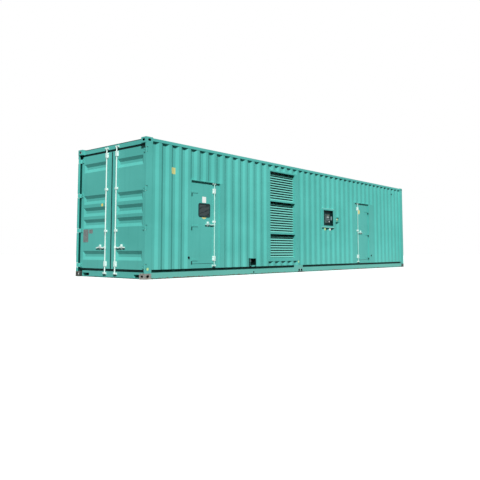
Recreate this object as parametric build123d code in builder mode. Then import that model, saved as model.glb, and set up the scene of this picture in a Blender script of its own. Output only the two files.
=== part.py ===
from build123d import *
import os

# Silent generator set in a 40 ft high-cube housing. Lengths in mm.
# X runs along the housing, the cargo doors face -X, the side with the
# doors and the control recess faces -Y, and Z = 0 is the ground.

# Overall size
LENGTH = 12192
WIDTH = 2438
HEIGHT = 2896
HX = LENGTH / 2
HY = WIDTH / 2

# Corner castings
CAST_L = 178
CAST_W = 162
CAST_H = 118
CAST_WALL = 28
SLOT_L = 124
SLOT_W = 63.5
SLOT_IN_X = 103.5
SLOT_IN_Y = 89.5
SIDE_HOLE_L = 79
SIDE_HOLE_H = 51
SIDE_HOLE_CUT = 16
MID_CAST_IN = 5466
MID_CAST_L = 240
MID_HOLE_PITCH = 112
STUB_L = 200
STUB_TAPER = 28
STUB_IN = 2

# Wall sheeting
CREST_IN = 16
RIB_DEPTH = 36
RIB_PITCH = 278
RIB_FLAT = 70
RIB_SLOPE = 68
RIB_START = 258
WALL_LINING = 58
CREST_Y = HY - CREST_IN
VALLEY_Y = CREST_Y - RIB_DEPTH
LINER_Y = VALLEY_Y - WALL_LINING
RIB_COUNT = int((LENGTH - RIB_START - RIB_FLAT / 2 - RIB_SLOPE) / RIB_PITCH) + 1

# Heights of the frame
RAIL_BOTTOM = 14
RAIL_TOP = 150
RAIL_IN = 10
RAIL_STEP = 69
RAIL_T = 8
WALL_GAP = 40
WALL_Z0 = RAIL_TOP + WALL_GAP
TOP_RAIL_H = 62
TOP_RAIL_IN = 13
ROOF_IN = 12
TOP_RAIL_TOP = HEIGHT - ROOF_IN
TOP_RAIL_Z = TOP_RAIL_TOP - TOP_RAIL_H
INNER_X = HX - CAST_L

# Floor and roof
FLOOR_T = 30
CROSS_START = 911
CROSS_PITCH = 610
CROSS_W = 45
CROSS_T = 6
CROSS_UP = 16
CROSS_COUNT = int((LENGTH - 2 * CROSS_START) / CROSS_PITCH) + 1
ROOF_T = 60
ROOF_SINK = 10
ROOF_RIB_PITCH = 418
ROOF_RIB_W = 190
ROOF_RIB_DEPTH = 18
ROOF_RIB_ANGLE = 45
ROOF_RIB_COUNT = int((2 * INNER_X - ROOF_RIB_W) / ROOF_RIB_PITCH)

# Posts and end frames
POST_LIP = 30
POST_SET = 4
POST_LEG_X = 136
POST_LEG_W = 89
SKIN_IN = 1
END_RAIL_IN = 6
END_WALL_IN = 8
END_WALL_T = 95
END_RIBS = 5
END_RIB_W = 180
END_RIB_DEPTH = 46
END_RIB_ANGLE = 60
END_PITCH = 2 * (HY - CAST_W) / END_RIBS

# Cargo doors
DOOR_IN = 70
DOOR_T = 55
DOOR_Z0 = WALL_Z0
DOOR_EDGE_IN = 69
DOOR_EDGE_Y = HY - DOOR_EDGE_IN
SEAM = 34
HEADER_H = 102
HEADER_Z0 = TOP_RAIL_TOP - HEADER_H
DOOR_HEAD_GAP = 49
DOOR_Z1 = HEADER_Z0 - DOOR_HEAD_GAP
HEADER_REAR_X = 136
HEADER_REAR_H = 62
SILL_DROP = 15
SILL_Z1 = RAIL_TOP - SILL_DROP
POCKET_W = 255
POCKET_MARGIN = 12
POCKET_UP = 11
POCKET_H = 63
GROOVE_DEPTH = 30
GROOVE_H = 200
GROOVE_SLOPE = 72
GROOVE_END = 60
GROOVES_UP = [285, 990, 1258, 1532]
GROOVE_DOWN = 283
GROOVE_SEAM = 168
GROOVE_EDGE = 100
PAD_UP = 1222
PAD_H = 118
PAD_T = 10
PAD_GAP = 4
SEAL_X0 = 15
SEAL_X1 = 35
SEAL_OUT = 33
SEAL_UP = 42
SEAL_DOWN = 43
SEAL_SEAM = 6

# Cargo door hinges
PIN_IN = 16
PIN_R = 8
PIN_GAP = 0.5
KNUCKLE_R = 13
KNUCKLE_SIDES = 16
STRAP_H = 90
STRAP_GAP = 8
STRAP_T = 10
STRAP_L = 130
WRAP_X = 36
WRAP_Y = 34
WRAP_OUT = 9
WRAP_CUT = 6
STRAP_SLANT = 4
STRAP_BEND = 18
NOTCH_IN = 41
STRAPS_UP = [65, 850]
STRAPS_DOWN = [895, 98]
STRAP_HEIGHTS = [DOOR_Z0 + u for u in STRAPS_UP] + [DOOR_Z1 - d for d in STRAPS_DOWN]
PIN_X = -HX + PIN_IN
PIN_Y = HY - PIN_IN

# Lock gear, the same on the cargo doors and the side doors
ROD_R = 14
ROUND_SIDES = 24
HUB_R = 18.9
HUB_H = 60
GUIDE_T = 6
GUIDE_CLEAR = 0.4
GUIDE_FOOT = 42
GUIDE_SMALL = 50
GUIDE_LARGE = 110
CAM_REACH = 34
CAM_BACK = 12
CAM_HALF = 15
CAM_NOTCH = 10
CAM_T = 12
KEEPER_GAP = 8
KEEPER_T = 14
KEEPER_OUT = 36
KEEPER_H = 44
KEEPER_BEVEL = 12
HANDLE_H = 24
HANDLE_T = 10
HANDLE_RISE = 8
HANDLE_BENDS = [(45, 0), (85, -9), (125, -9), (170, 8), (235, 8)]
HANDLE_TIP = 40
HANDLE_DROOP = 8
HANDLE_TIP_H = 18
CATCH_AT = 200
CATCH_W = 56
CATCH_T = 5
CATCH_OUT = 9
CATCH_GAP = 6
CATCH_ARM = 18
CATCH_ARM_H = 34

# Cargo lock gear
ROD_OFF = 22
ROD_Y = 178
ROD_X = -HX + DOOR_IN - ROD_OFF
ROD_LAP = 43
ROD_Z0 = SILL_Z1 - ROD_LAP
ROD_Z1 = HEADER_Z0 + ROD_LAP - 3
GUIDES_LARGE = [DOOR_Z0 + 105, DOOR_Z1 - 68]
GUIDES_SMALL = [DOOR_Z0 + 815, DOOR_Z1 - 818]
HANDLE_UP = 460
HANDLE_Z = DOOR_Z0 + HANDLE_UP
HANDLE_L = 330

# Side doors
RECESS_W = 930
RECESS_Z1 = 2130
HEAD_STRIP = 12
FRAME_Z1 = RECESS_Z1 + HEAD_STRIP
RECESS1_IN = 67
RECESS2_IN = 160
LEAF_W = 745
LEAF_UP = 105
LEAF_DOWN = 45
LEAF_Z0 = WALL_Z0 + LEAF_UP
LEAF_Z1 = RECESS_Z1 - LEAF_DOWN
LEAF_GAP = 8
LEAF_SET = 2
FACE_Y = VALLEY_Y + LEAF_SET
HINGE_MARGIN = 40
SIDE_HINGES = [353, 1106, 1856]
SIDE_PIN_OUT = 21
SIDE_PIN_SET = 6
SIDE_PIN_R = 5
SIDE_PIN_GAP = 0.3
SIDE_PIN_H = 34
SIDE_KNUCKLE_R = 9
SIDE_KNUCKLE_H = 44
SIDE_KNUCKLE_GAP = 1
SIDE_STRAP_L = 200
SIDE_STRAP_T = 6
SIDE_PAD_L = 28
SIDE_NECK = 10
SIDE_ROD_IN = 39
SIDE_ROD_OFF = 24
SIDE_ROD_UP = 50
SIDE_ROD_DOWN = 25
SROD_Z0 = WALL_Z0 + SIDE_ROD_UP
SROD_Z1 = RECESS_Z1 - SIDE_ROD_DOWN
SGUIDES_LARGE = [LEAF_Z0 + 109, LEAF_Z1 - 140]
SGUIDE_SMALL = LEAF_Z0 + 945
SHANDLE_UP = 880
SHANDLE_Z = LEAF_Z0 + SHANDLE_UP
SHANDLE_L = 300
PANE_IN = 223
PANE_W = 345
PANE_UP = 1055
PANE_H = 280
PANE_T = 12
PANE_SET = 2
DOOR_STOP_R = 26
DOOR_STOP_T = 12
DOOR_STOP_UP = 238
DOOR_STOP1_OUT = 5
DOOR_STOP2_IN = 176

# Louvre bank
LOUVRE_IN = 4046
LOUVRE_W = 1340
LOUVRE_UP = 119
LOUVRE_DOWN = 132
LOUVRE_OUT = 4
BLADES_IN = 90
BLADES_W = 1110
WINDOW_SILL = 91
WINDOW_LOW = 615
WINDOW_MID = 810
WINDOW_HEAD = 35
TRANSOM = 40
BLADE_IN = 60
BLADE_PITCH = 65
BLADE_T = 4
BLADE_RISE = 40
BLADE_LIP = 6
BLADE_UP = 14
BANK_T = 94

# Control recess
CTRL_IN = 6726
CTRL_W = 520
CTRL_UP = 1140
CTRL_H = 455
CTRL_RIM = 60
RIM_OUT = 4
CTRL_DEPTH = 60
PANEL_T = 12
PANEL_EDGE = 6
BEZEL_IN = 117
BEZEL_UP = 85
BEZEL_W = 281
BEZEL_H = 262
BEZEL_T = 10
DISPLAY_W = 116
DISPLAY_H = 40
DISPLAY_IN = 166
DISPLAY_UP = 150
KEY_W = 26
KEY_PITCH = 44
KEY_T = 4
KEYS_UP = 105
KEY_COUNT = 5
SWITCH_R = 15
SWITCH_T = 14
SWITCH_IN = 224
SWITCH_UP = 38
LATCH_W = 36
LATCH_H = 110
LATCH_T = 24

# Emergency stop recess
STOP_GAP = 190
STOP_W = 160
STOP_UP = 124
STOP_H = 149
STOP_WALL = 8
STOP_BACK = 30
STOP_UNIT = 84
STOP_UNIT_T = 34
STOP_BUTTON_R = 20
STOP_BUTTON_T = 16
STOP_BUTTON_EDGE = 6
STOP_STEM_R = 12
STOP_STEM_T = 8

# Filler recess
FILL_GAP = 740
FILL_W = 250
FILL_UP = 27
FILL_H = 181
FILL_WALL = 8
FILL_DEPTH = 84
FILL_CAP_R = 32
FILL_CAP_T = 30
FILL_CAP_IN = 76
FILL_CAP_DOWN = 58

os.makedirs("parts", exist_ok=True)


def save(name, *pieces):
    """Write finished pieces to one file, with every solid kept on its own."""
    group = Compound([solid for piece in pieces for solid in piece.part.solids()])
    group.label = name
    export_step(group, f"parts/{name}.step")


def mirrored(piece):
    """The same piece on the other side of the middle."""
    with BuildPart() as other:
        mirror(piece.part, about=Plane.XZ)
    return other


def box(x0, x1, y0, y1, z0, z1, mode=Mode.ADD):
    """A rectangular solid between two corners."""
    with Locations(((x0 + x1) / 2, (y0 + y1) / 2, (z0 + z1) / 2)):
        Box(x1 - x0, y1 - y0, z1 - z0, mode=mode)


def outline(*points):
    """A flat face inside straight edges."""
    Polygon(*points, align=None)


def rib_x(n):
    """Where the middle of the n-th wall valley lies, counted from the door end."""
    return -HX + RIB_START + n * RIB_PITCH


def ribbed(x0, x1, z0, z1):
    """A length of ribbed wall on the near side, clipped between x0 and x1."""
    half = RIB_FLAT / 2
    points = [(-HX, -LINER_Y), (-HX, -CREST_Y)]
    for n in range(RIB_COUNT):
        c = rib_x(n)
        points.append((c - half - RIB_SLOPE, -CREST_Y))
        points.append((c - half, -VALLEY_Y))
        points.append((c + half, -VALLEY_Y))
        points.append((c + half + RIB_SLOPE, -CREST_Y))
    points.append((HX, -CREST_Y))
    points.append((HX, -LINER_Y))
    with BuildSketch(Plane.XY.offset(z0)) as sk:
        outline(*points)
        with Locations(((x0 + x1) / 2, -(CREST_Y + LINER_Y) / 2)):
            Rectangle(x1 - x0, CREST_Y - LINER_Y + 2, mode=Mode.INTERSECT)
    extrude(sk.sketch, amount=z1 - z0)


# Corner castings
# Hollow blocks with a slot above or below and a hole in each outer face.
def side_hole():
    """The hole in a casting's face, with its corners cut."""
    Polygon(
        (-SIDE_HOLE_L / 2, -SIDE_HOLE_H / 2 + SIDE_HOLE_CUT),
        (-SIDE_HOLE_L / 2 + SIDE_HOLE_CUT, -SIDE_HOLE_H / 2),
        (SIDE_HOLE_L / 2 - SIDE_HOLE_CUT, -SIDE_HOLE_H / 2),
        (SIDE_HOLE_L / 2, -SIDE_HOLE_H / 2 + SIDE_HOLE_CUT),
        (SIDE_HOLE_L / 2, SIDE_HOLE_H / 2 - SIDE_HOLE_CUT),
        (SIDE_HOLE_L / 2 - SIDE_HOLE_CUT, SIDE_HOLE_H / 2),
        (-SIDE_HOLE_L / 2 + SIDE_HOLE_CUT, SIDE_HOLE_H / 2),
        (-SIDE_HOLE_L / 2, SIDE_HOLE_H / 2 - SIDE_HOLE_CUT),
    )


def casting(sx, sy, z0, slot_up):
    """One corner casting."""
    x = sx * (HX - CAST_L / 2)
    y = sy * (HY - CAST_W / 2)
    z = z0 + CAST_H / 2
    cut = CAST_WALL + 1
    with Locations((x, y, z)):
        Box(CAST_L, CAST_W, CAST_H)
        Box(CAST_L - 2 * CAST_WALL, CAST_W - 2 * CAST_WALL, CAST_H - 2 * CAST_WALL, mode=Mode.SUBTRACT)
    with BuildSketch(Plane.XY.offset(z0 + CAST_H if slot_up else z0)) as sk:
        with Locations((sx * (HX - SLOT_IN_X), sy * (HY - SLOT_IN_Y))):
            SlotOverall(SLOT_L, SLOT_W)
    extrude(sk.sketch, amount=-cut if slot_up else cut, mode=Mode.SUBTRACT)
    with BuildSketch(Plane.XZ.offset(-sy * HY)) as sk:
        with Locations((x, z)):
            side_hole()
    extrude(sk.sketch, amount=sy * cut, mode=Mode.SUBTRACT)
    with BuildSketch(Plane.YZ.offset(sx * HX)) as sk:
        with Locations((y, z)):
            side_hole()
    extrude(sk.sketch, amount=-sx * cut, mode=Mode.SUBTRACT)


with BuildPart() as bottom_castings:
    for sx in (-1, 1):
        for sy in (-1, 1):
            casting(sx, sy, 0, False)
save("bottom_castings", bottom_castings)

with BuildPart() as top_castings:
    for sx in (-1, 1):
        for sy in (-1, 1):
            casting(sx, sy, HEIGHT - CAST_H, True)
save("top_castings", top_castings)

MID_CAST_X = -HX + MID_CAST_IN
MID_X0 = MID_CAST_X - MID_CAST_L / 2
MID_X1 = MID_CAST_X + MID_CAST_L / 2
with BuildPart() as mid_castings:
    box(MID_X0, MID_X1, -HY, -HY + CAST_W, 0, CAST_H)
    with Locations((MID_CAST_X, -HY + CAST_W / 2, CAST_H / 2)):
        Box(MID_CAST_L - 2 * CAST_WALL, CAST_W - 2 * CAST_WALL, CAST_H - 2 * CAST_WALL, mode=Mode.SUBTRACT)
    with BuildSketch(Plane.XZ.offset(HY)):
        with Locations((MID_CAST_X, CAST_H / 2)):
            with GridLocations(MID_HOLE_PITCH, 0, 2, 1):
                side_hole()
    extrude(amount=-CAST_WALL - 1, mode=Mode.SUBTRACT)
    with BuildSketch(Plane.XY):
        with Locations((MID_CAST_X, -HY + SLOT_IN_Y)):
            SlotOverall(SLOT_L, SLOT_W)
    extrude(amount=CAST_WALL + 1, mode=Mode.SUBTRACT)
    mirror(about=Plane.XZ)
save("mid_castings", mid_castings)

# Door end posts
# An outer lip that carries the hinge pins and an inner leg behind the doors.
POST_Z1 = HEIGHT - CAST_H
with BuildPart() as door_end_posts:
    box(-HX + POST_SET, -INNER_X, HY - POST_LIP, HY - SKIN_IN, CAST_H, POST_Z1)
    box(-HX + POST_LEG_X, -INNER_X, HY - POST_LIP - POST_LEG_W, HY - POST_LIP, CAST_H, POST_Z1)
    for z in STRAP_HEIGHTS:
        notch = STRAP_H / 2 + STRAP_GAP
        box(-HX, PIN_X + NOTCH_IN, HY - POST_LIP - 1, HY, z - notch, z + notch, Mode.SUBTRACT)
    mirror(about=Plane.XZ)
save("door_end_posts", door_end_posts)

with BuildPart() as hinge_pins:
    for z in STRAP_HEIGHTS:
        with BuildSketch(Plane.XY.offset(z - STRAP_H / 2 - STRAP_GAP)):
            with Locations((PIN_X, PIN_Y)):
                RegularPolygon(PIN_R, KNUCKLE_SIDES)
        extrude(amount=STRAP_H + 2 * STRAP_GAP)
    mirror(about=Plane.XZ)
save("hinge_pins", hinge_pins)

# Far end frame
with BuildPart() as far_end_posts:
    box(INNER_X, HX - POST_SET, HY - CAST_W, HY - SKIN_IN, CAST_H, POST_Z1)
    mirror(about=Plane.XZ)
with BuildPart() as far_end_rails:
    box(INNER_X, HX - END_RAIL_IN, -HY + CAST_W, HY - CAST_W, RAIL_BOTTOM, WALL_Z0)
    box(INNER_X, HX - END_RAIL_IN, -HY + CAST_W, HY - CAST_W, TOP_RAIL_Z, TOP_RAIL_TOP)
save("far_end_frame", far_end_posts, far_end_rails)

# The end sheeting has upright ribs between the posts.
with BuildPart() as far_end_wall:
    with BuildSketch(Plane.XY.offset(WALL_Z0)):
        with Locations((HX - END_WALL_IN - END_WALL_T / 2, 0)):
            Rectangle(END_WALL_T, 2 * (HY - CAST_W))
        with Locations((HX - END_WALL_IN - END_RIB_DEPTH / 2, 0)):
            with GridLocations(0, END_PITCH, 1, END_RIBS):
                Trapezoid(END_RIB_W, END_RIB_DEPTH, END_RIB_ANGLE, rotation=90, mode=Mode.SUBTRACT)
    extrude(amount=TOP_RAIL_Z - WALL_Z0)
save("far_end_wall", far_end_wall)

# Side rails
# Each lower rail is a channel, and its head steps back under the wall,
# which leaves the dark line.
RAIL_Y = -HY + RAIL_IN
with BuildPart() as bottom_side_rails:
    for x0, x1 in ((-INNER_X, MID_X0), (MID_X1, INNER_X)):
        with BuildSketch(Plane.YZ.offset(x0)):
            outline(
                (RAIL_Y, RAIL_BOTTOM),
                (RAIL_Y, RAIL_TOP),
                (-HY + RAIL_STEP, RAIL_TOP),
                (-HY + RAIL_STEP, WALL_Z0),
                (-LINER_Y, WALL_Z0),
                (-LINER_Y, RAIL_TOP - RAIL_T),
                (RAIL_Y + RAIL_T, RAIL_TOP - RAIL_T),
                (RAIL_Y + RAIL_T, RAIL_BOTTOM + RAIL_T),
                (-LINER_Y, RAIL_BOTTOM + RAIL_T),
                (-LINER_Y, RAIL_BOTTOM),
            )
        extrude(amount=x1 - x0)
    mirror(about=Plane.XZ)

# A stub stands on each mid casting, and a tapered plate beside it covers
# the rail and its step.
with BuildPart() as mid_stubs:
    box(MID_X0, MID_X1, -HY + STUB_IN, -LINER_Y, CAST_H, WALL_Z0)
    with BuildSketch(Plane.XZ.offset(HY - STUB_IN)):
        outline(
            (MID_X0, RAIL_BOTTOM),
            (MID_X0, WALL_Z0),
            (MID_X0 - STUB_L + STUB_TAPER, WALL_Z0),
            (MID_X0 - STUB_L, RAIL_BOTTOM),
        )
    extrude(amount=-(RAIL_IN - STUB_IN))
    box(MID_X0 - STUB_L + STUB_TAPER, MID_X0, RAIL_Y, -HY + RAIL_STEP, RAIL_TOP, WALL_Z0)
    mirror(about=Plane.XZ)
save("bottom_side_rails", bottom_side_rails, mid_stubs)

with BuildPart() as top_side_rails:
    box(-INNER_X, INNER_X, -HY + TOP_RAIL_IN, -LINER_Y, TOP_RAIL_Z, TOP_RAIL_TOP)
    mirror(about=Plane.XZ)
save("top_side_rails", top_side_rails)

# Door header and sill
# Each has a front bar level with the doors and a rear part behind the seals,
# and the sill has an opening right through it beside each casting.
with BuildPart() as door_header:
    box(-HX + DOOR_IN, -INNER_X, -HY + CAST_W, HY - CAST_W, HEADER_Z0, TOP_RAIL_TOP)
    box(-HX + HEADER_REAR_X, -INNER_X, -HY + CAST_W, HY - CAST_W, HEADER_Z0 - HEADER_REAR_H, HEADER_Z0)
save("door_header", door_header)

POCKET_Y1 = HY - CAST_W - POCKET_MARGIN
POCKET_Z0 = RAIL_BOTTOM + POCKET_UP
with BuildPart() as door_sill:
    box(-HX + DOOR_IN, -INNER_X, 0, HY - CAST_W, RAIL_BOTTOM, SILL_Z1)
    box(-HX + HEADER_REAR_X, -INNER_X, 0, HY - CAST_W, SILL_Z1, FLOOR_T + RAIL_TOP)
    box(-HX, -INNER_X + 1, POCKET_Y1 - POCKET_W, POCKET_Y1, POCKET_Z0, POCKET_Z0 + POCKET_H, Mode.SUBTRACT)
    mirror(about=Plane.XZ)
save("door_sill", door_sill)

# Floor and roof
# Channels run across under the floor, and the roof has shallow troughs.
CROSS_Z0 = RAIL_BOTTOM + CROSS_UP
with BuildPart() as cross_members:
    with BuildSketch(Plane.XZ.offset(LINER_Y)):
        for n in range(CROSS_COUNT):
            x = -HX + CROSS_START + n * CROSS_PITCH - CROSS_W / 2
            outline(
                (x, CROSS_Z0),
                (x + CROSS_W, CROSS_Z0),
                (x + CROSS_W, CROSS_Z0 + CROSS_T),
                (x + CROSS_T, CROSS_Z0 + CROSS_T),
                (x + CROSS_T, RAIL_TOP - CROSS_T),
                (x + CROSS_W, RAIL_TOP - CROSS_T),
                (x + CROSS_W, RAIL_TOP),
                (x, RAIL_TOP),
            )
    extrude(amount=-2 * LINER_Y)
save("cross_members", cross_members)

with BuildPart() as floor:
    box(-INNER_X, INNER_X, -LINER_Y, LINER_Y, RAIL_TOP, RAIL_TOP + FLOOR_T)
save("floor", floor)

ROOF_Z1 = TOP_RAIL_TOP - ROOF_SINK
with BuildPart() as roof:
    with BuildSketch(Plane.XZ.offset(LINER_Y)):
        with Locations((0, ROOF_Z1 - ROOF_T / 2)):
            Rectangle(2 * INNER_X, ROOF_T)
        with Locations((0, ROOF_Z1 - ROOF_RIB_DEPTH / 2)):
            with GridLocations(ROOF_RIB_PITCH, 0, ROOF_RIB_COUNT, 1):
                Trapezoid(ROOF_RIB_W, ROOF_RIB_DEPTH, ROOF_RIB_ANGLE, rotation=180, mode=Mode.SUBTRACT)
    extrude(amount=-2 * LINER_Y)
save("roof", roof)

# Places along the near wall
FRAME1_X0 = rib_x(3.5)
FRAME1_X1 = rib_x(7.5)
FRAME2_X0 = rib_x(29.5)
FRAME2_X1 = rib_x(34.5)
LOUVRE_X0 = -HX + LOUVRE_IN
LOUVRE_X1 = LOUVRE_X0 + LOUVRE_W
LOUVRE_Z0 = WALL_Z0 + LOUVRE_UP
LOUVRE_Z1 = TOP_RAIL_Z - LOUVRE_DOWN
CTRL_X0 = -HX + CTRL_IN
CTRL_X1 = CTRL_X0 + CTRL_W
CTRL_Z0 = WALL_Z0 + CTRL_UP
CTRL_Z1 = CTRL_Z0 + CTRL_H
STOP_X0 = CTRL_X1 + STOP_GAP
STOP_X1 = STOP_X0 + STOP_W
STOP_Z0 = CTRL_Z0 + STOP_UP
STOP_Z1 = STOP_Z0 + STOP_H
FILL_X0 = LOUVRE_X0 - FILL_GAP
FILL_X1 = FILL_X0 + FILL_W
FILL_Z0 = WALL_Z0 + FILL_UP
FILL_Z1 = FILL_Z0 + FILL_H

# Near wall
# Whole panels between the frames, and infills over and under them.
with BuildPart() as near_panels:
    ribbed(-INNER_X, FRAME1_X0, WALL_Z0, TOP_RAIL_Z)
    ribbed(FRAME1_X1, FILL_X0, WALL_Z0, TOP_RAIL_Z)
    ribbed(FILL_X1, LOUVRE_X0, WALL_Z0, TOP_RAIL_Z)
    ribbed(LOUVRE_X1, CTRL_X0 - CTRL_RIM, WALL_Z0, TOP_RAIL_Z)
    ribbed(CTRL_X1 + CTRL_RIM, FRAME2_X0, WALL_Z0, TOP_RAIL_Z)
    box(STOP_X0, STOP_X1, -CREST_Y - 1, -LINER_Y - STOP_BACK, STOP_Z0, STOP_Z1, Mode.SUBTRACT)
    ribbed(FRAME2_X1, INNER_X, WALL_Z0, TOP_RAIL_Z)

with BuildPart() as near_infills:
    ribbed(FRAME1_X0, FRAME1_X1, FRAME_Z1, TOP_RAIL_Z)
    ribbed(FRAME2_X0, FRAME2_X1, FRAME_Z1, TOP_RAIL_Z)
    ribbed(LOUVRE_X0, LOUVRE_X1, LOUVRE_Z1, TOP_RAIL_Z)
    ribbed(LOUVRE_X0, LOUVRE_X1, WALL_Z0, LOUVRE_Z0)
    ribbed(FILL_X0, FILL_X1, FILL_Z1, TOP_RAIL_Z)
    ribbed(FILL_X0, FILL_X1, WALL_Z0, FILL_Z0)
    ribbed(CTRL_X0 - CTRL_RIM, CTRL_X1 + CTRL_RIM, CTRL_Z1 + CTRL_RIM, TOP_RAIL_Z)
    ribbed(CTRL_X0 - CTRL_RIM, CTRL_X1 + CTRL_RIM, WALL_Z0, CTRL_Z0 - CTRL_RIM)
save("near_wall_panels", near_panels, near_infills)

# Back wall
with BuildPart() as back_panels:
    ribbed(-INNER_X, LOUVRE_X0, WALL_Z0, TOP_RAIL_Z)
    ribbed(LOUVRE_X1, INNER_X, WALL_Z0, TOP_RAIL_Z)
with BuildPart() as back_infills:
    ribbed(LOUVRE_X0, LOUVRE_X1, LOUVRE_Z1, TOP_RAIL_Z)
    ribbed(LOUVRE_X0, LOUVRE_X1, WALL_Z0, LOUVRE_Z0)
save("back_wall_panels", mirrored(back_panels), mirrored(back_infills))

# Louvre banks
# A deep frame with three windows, each filled with sloping blades that
# run into its sides and turn down at the front.
BLADES_X0 = LOUVRE_X0 + BLADES_IN
BLADES_X1 = BLADES_X0 + BLADES_W
LOW_Z0 = LOUVRE_Z0 + WINDOW_SILL
MID_Z0 = LOW_Z0 + WINDOW_LOW + TRANSOM
HEAD_Z0 = MID_Z0 + WINDOW_MID + TRANSOM
WINDOWS = [
    (LOW_Z0, LOW_Z0 + WINDOW_LOW),
    (MID_Z0, MID_Z0 + WINDOW_MID),
    (HEAD_Z0, LOUVRE_Z1 - WINDOW_HEAD),
]
BLADE_Y0 = -CREST_Y + BLADE_IN
BLADE_Y1 = -CREST_Y + BANK_T
with BuildPart() as near_louvre_bank:
    box(LOUVRE_X0, LOUVRE_X1, -CREST_Y - LOUVRE_OUT, BLADE_Y1, LOUVRE_Z0, LOUVRE_Z1)
    for z0, z1 in WINDOWS:
        box(BLADES_X0, BLADES_X1, -HY, BLADE_Y1 + 1, z0, z1, Mode.SUBTRACT)
    with BuildSketch(Plane.YZ.offset(BLADES_X0)):
        for z0, z1 in WINDOWS:
            for n in range(int((z1 - z0 - BLADE_UP - BLADE_RISE - BLADE_T) / BLADE_PITCH) + 1):
                z = z0 + BLADE_UP + n * BLADE_PITCH
                outline(
                    (BLADE_Y0, z - BLADE_LIP),
                    (BLADE_Y0, z + BLADE_T),
                    (BLADE_Y1, z + BLADE_RISE + BLADE_T),
                    (BLADE_Y1, z + BLADE_RISE),
                    (BLADE_Y0 + BLADE_T, z),
                    (BLADE_Y0 + BLADE_T, z - BLADE_LIP),
                )
    extrude(amount=BLADES_W)
save("near_louvre_bank", near_louvre_bank)
save("back_louvre_bank", mirrored(near_louvre_bank))


# Side door frames
# A plate level with the ribs' crests, cut back to their depth round the
# door, with the doorway through it. A flat bar on it closes the ribs above.
def door_frame(x0, x1, recess_x0, leaf_x0):
    """One side door's frame."""
    box(x0, x1, -CREST_Y, -LINER_Y, WALL_Z0, RECESS_Z1)
    box(recess_x0, recess_x0 + RECESS_W, -HY, -FACE_Y, WALL_Z0 - 1, RECESS_Z1, Mode.SUBTRACT)
    box(
        leaf_x0 - LEAF_GAP,
        leaf_x0 + LEAF_W + LEAF_GAP,
        -HY,
        -LINER_Y + 1,
        LEAF_Z0 - LEAF_GAP,
        LEAF_Z1 + LEAF_GAP,
        Mode.SUBTRACT,
    )


RECESS1_X = FRAME1_X0 + RECESS1_IN
RECESS2_X = FRAME2_X0 + RECESS2_IN
LEAF1_X0 = RECESS1_X + HINGE_MARGIN
LEAF1_X1 = LEAF1_X0 + LEAF_W
LEAF2_X1 = RECESS2_X + RECESS_W - HINGE_MARGIN
LEAF2_X0 = LEAF2_X1 - LEAF_W
PIN1_X = LEAF1_X0 - SIDE_PIN_SET
PIN2_X = LEAF2_X1 + SIDE_PIN_SET
SIDE_PIN_Y = FACE_Y + SIDE_PIN_OUT
with BuildPart() as side_door_frames:
    door_frame(FRAME1_X0, FRAME1_X1, RECESS1_X, LEAF1_X0)
    door_frame(FRAME2_X0, FRAME2_X1, RECESS2_X, LEAF2_X0)
with BuildPart() as side_door_heads:
    box(FRAME1_X0, FRAME1_X1, -CREST_Y, -LINER_Y, RECESS_Z1, FRAME_Z1)
    box(FRAME2_X0, FRAME2_X1, -CREST_Y, -LINER_Y, RECESS_Z1, FRAME_Z1)
save("side_door_frames", side_door_frames, side_door_heads)


# Side door hinges
# Lift-off hinges. The lower half on the frame carries the pin, and the
# upper half on the leaf drops over it.
def frame_hinges(px, side):
    """The lower halves, on the frame beside the leaf."""
    for z in SIDE_HINGES:
        with BuildSketch(Plane.XY.offset(z - SIDE_KNUCKLE_H)) as sk:
            with Locations((px, -SIDE_PIN_Y)):
                RegularPolygon(SIDE_KNUCKLE_R, KNUCKLE_SIDES)
            with Locations((px + side * SIDE_PAD_L / 2, -(FACE_Y + SIDE_PIN_Y + SIDE_STRAP_T) / 2)):
                Rectangle(SIDE_PAD_L, SIDE_PIN_Y - FACE_Y + SIDE_STRAP_T)
        extrude(sk.sketch, amount=SIDE_KNUCKLE_H - SIDE_KNUCKLE_GAP)
        with BuildSketch(Plane.XY.offset(z - SIDE_KNUCKLE_GAP)) as sk:
            with Locations((px, -SIDE_PIN_Y)):
                RegularPolygon(SIDE_PIN_R, KNUCKLE_SIDES)
        extrude(sk.sketch, amount=SIDE_PIN_H)


def leaf_hinges(px, toward):
    """The upper halves, with their long straps across the leaf."""
    for z in SIDE_HINGES:
        with BuildSketch(Plane.XY.offset(z)) as sk:
            with Locations((px + toward * SIDE_STRAP_L / 2, -FACE_Y - SIDE_STRAP_T / 2)):
                Rectangle(SIDE_STRAP_L, SIDE_STRAP_T)
            with Locations((px + toward * SIDE_NECK / 2, -(SIDE_PIN_Y + FACE_Y) / 2)):
                Rectangle(SIDE_NECK, SIDE_PIN_Y - FACE_Y)
            with Locations((px, -SIDE_PIN_Y)):
                RegularPolygon(SIDE_KNUCKLE_R, KNUCKLE_SIDES)
                RegularPolygon(
                    SIDE_PIN_R + SIDE_PIN_GAP, KNUCKLE_SIDES, major_radius=False, mode=Mode.SUBTRACT
                )
        extrude(sk.sketch, amount=SIDE_KNUCKLE_H)


with BuildPart() as side_hinge_brackets:
    frame_hinges(PIN1_X, -1)
    frame_hinges(PIN2_X, 1)
save("side_hinge_brackets", side_hinge_brackets)

# Round buffers hold the doors off the wall when they are open.
with BuildPart() as door_stops:
    with BuildSketch(Plane.XZ.offset(CREST_Y)):
        for x in (FRAME1_X0 - DOOR_STOP1_OUT, FRAME2_X1 - DOOR_STOP2_IN):
            with Locations((x, WALL_Z0 + DOOR_STOP_UP)):
                RegularPolygon(DOOR_STOP_R, KNUCKLE_SIDES)
    extrude(amount=DOOR_STOP_T)
save("door_stops", door_stops)

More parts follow.
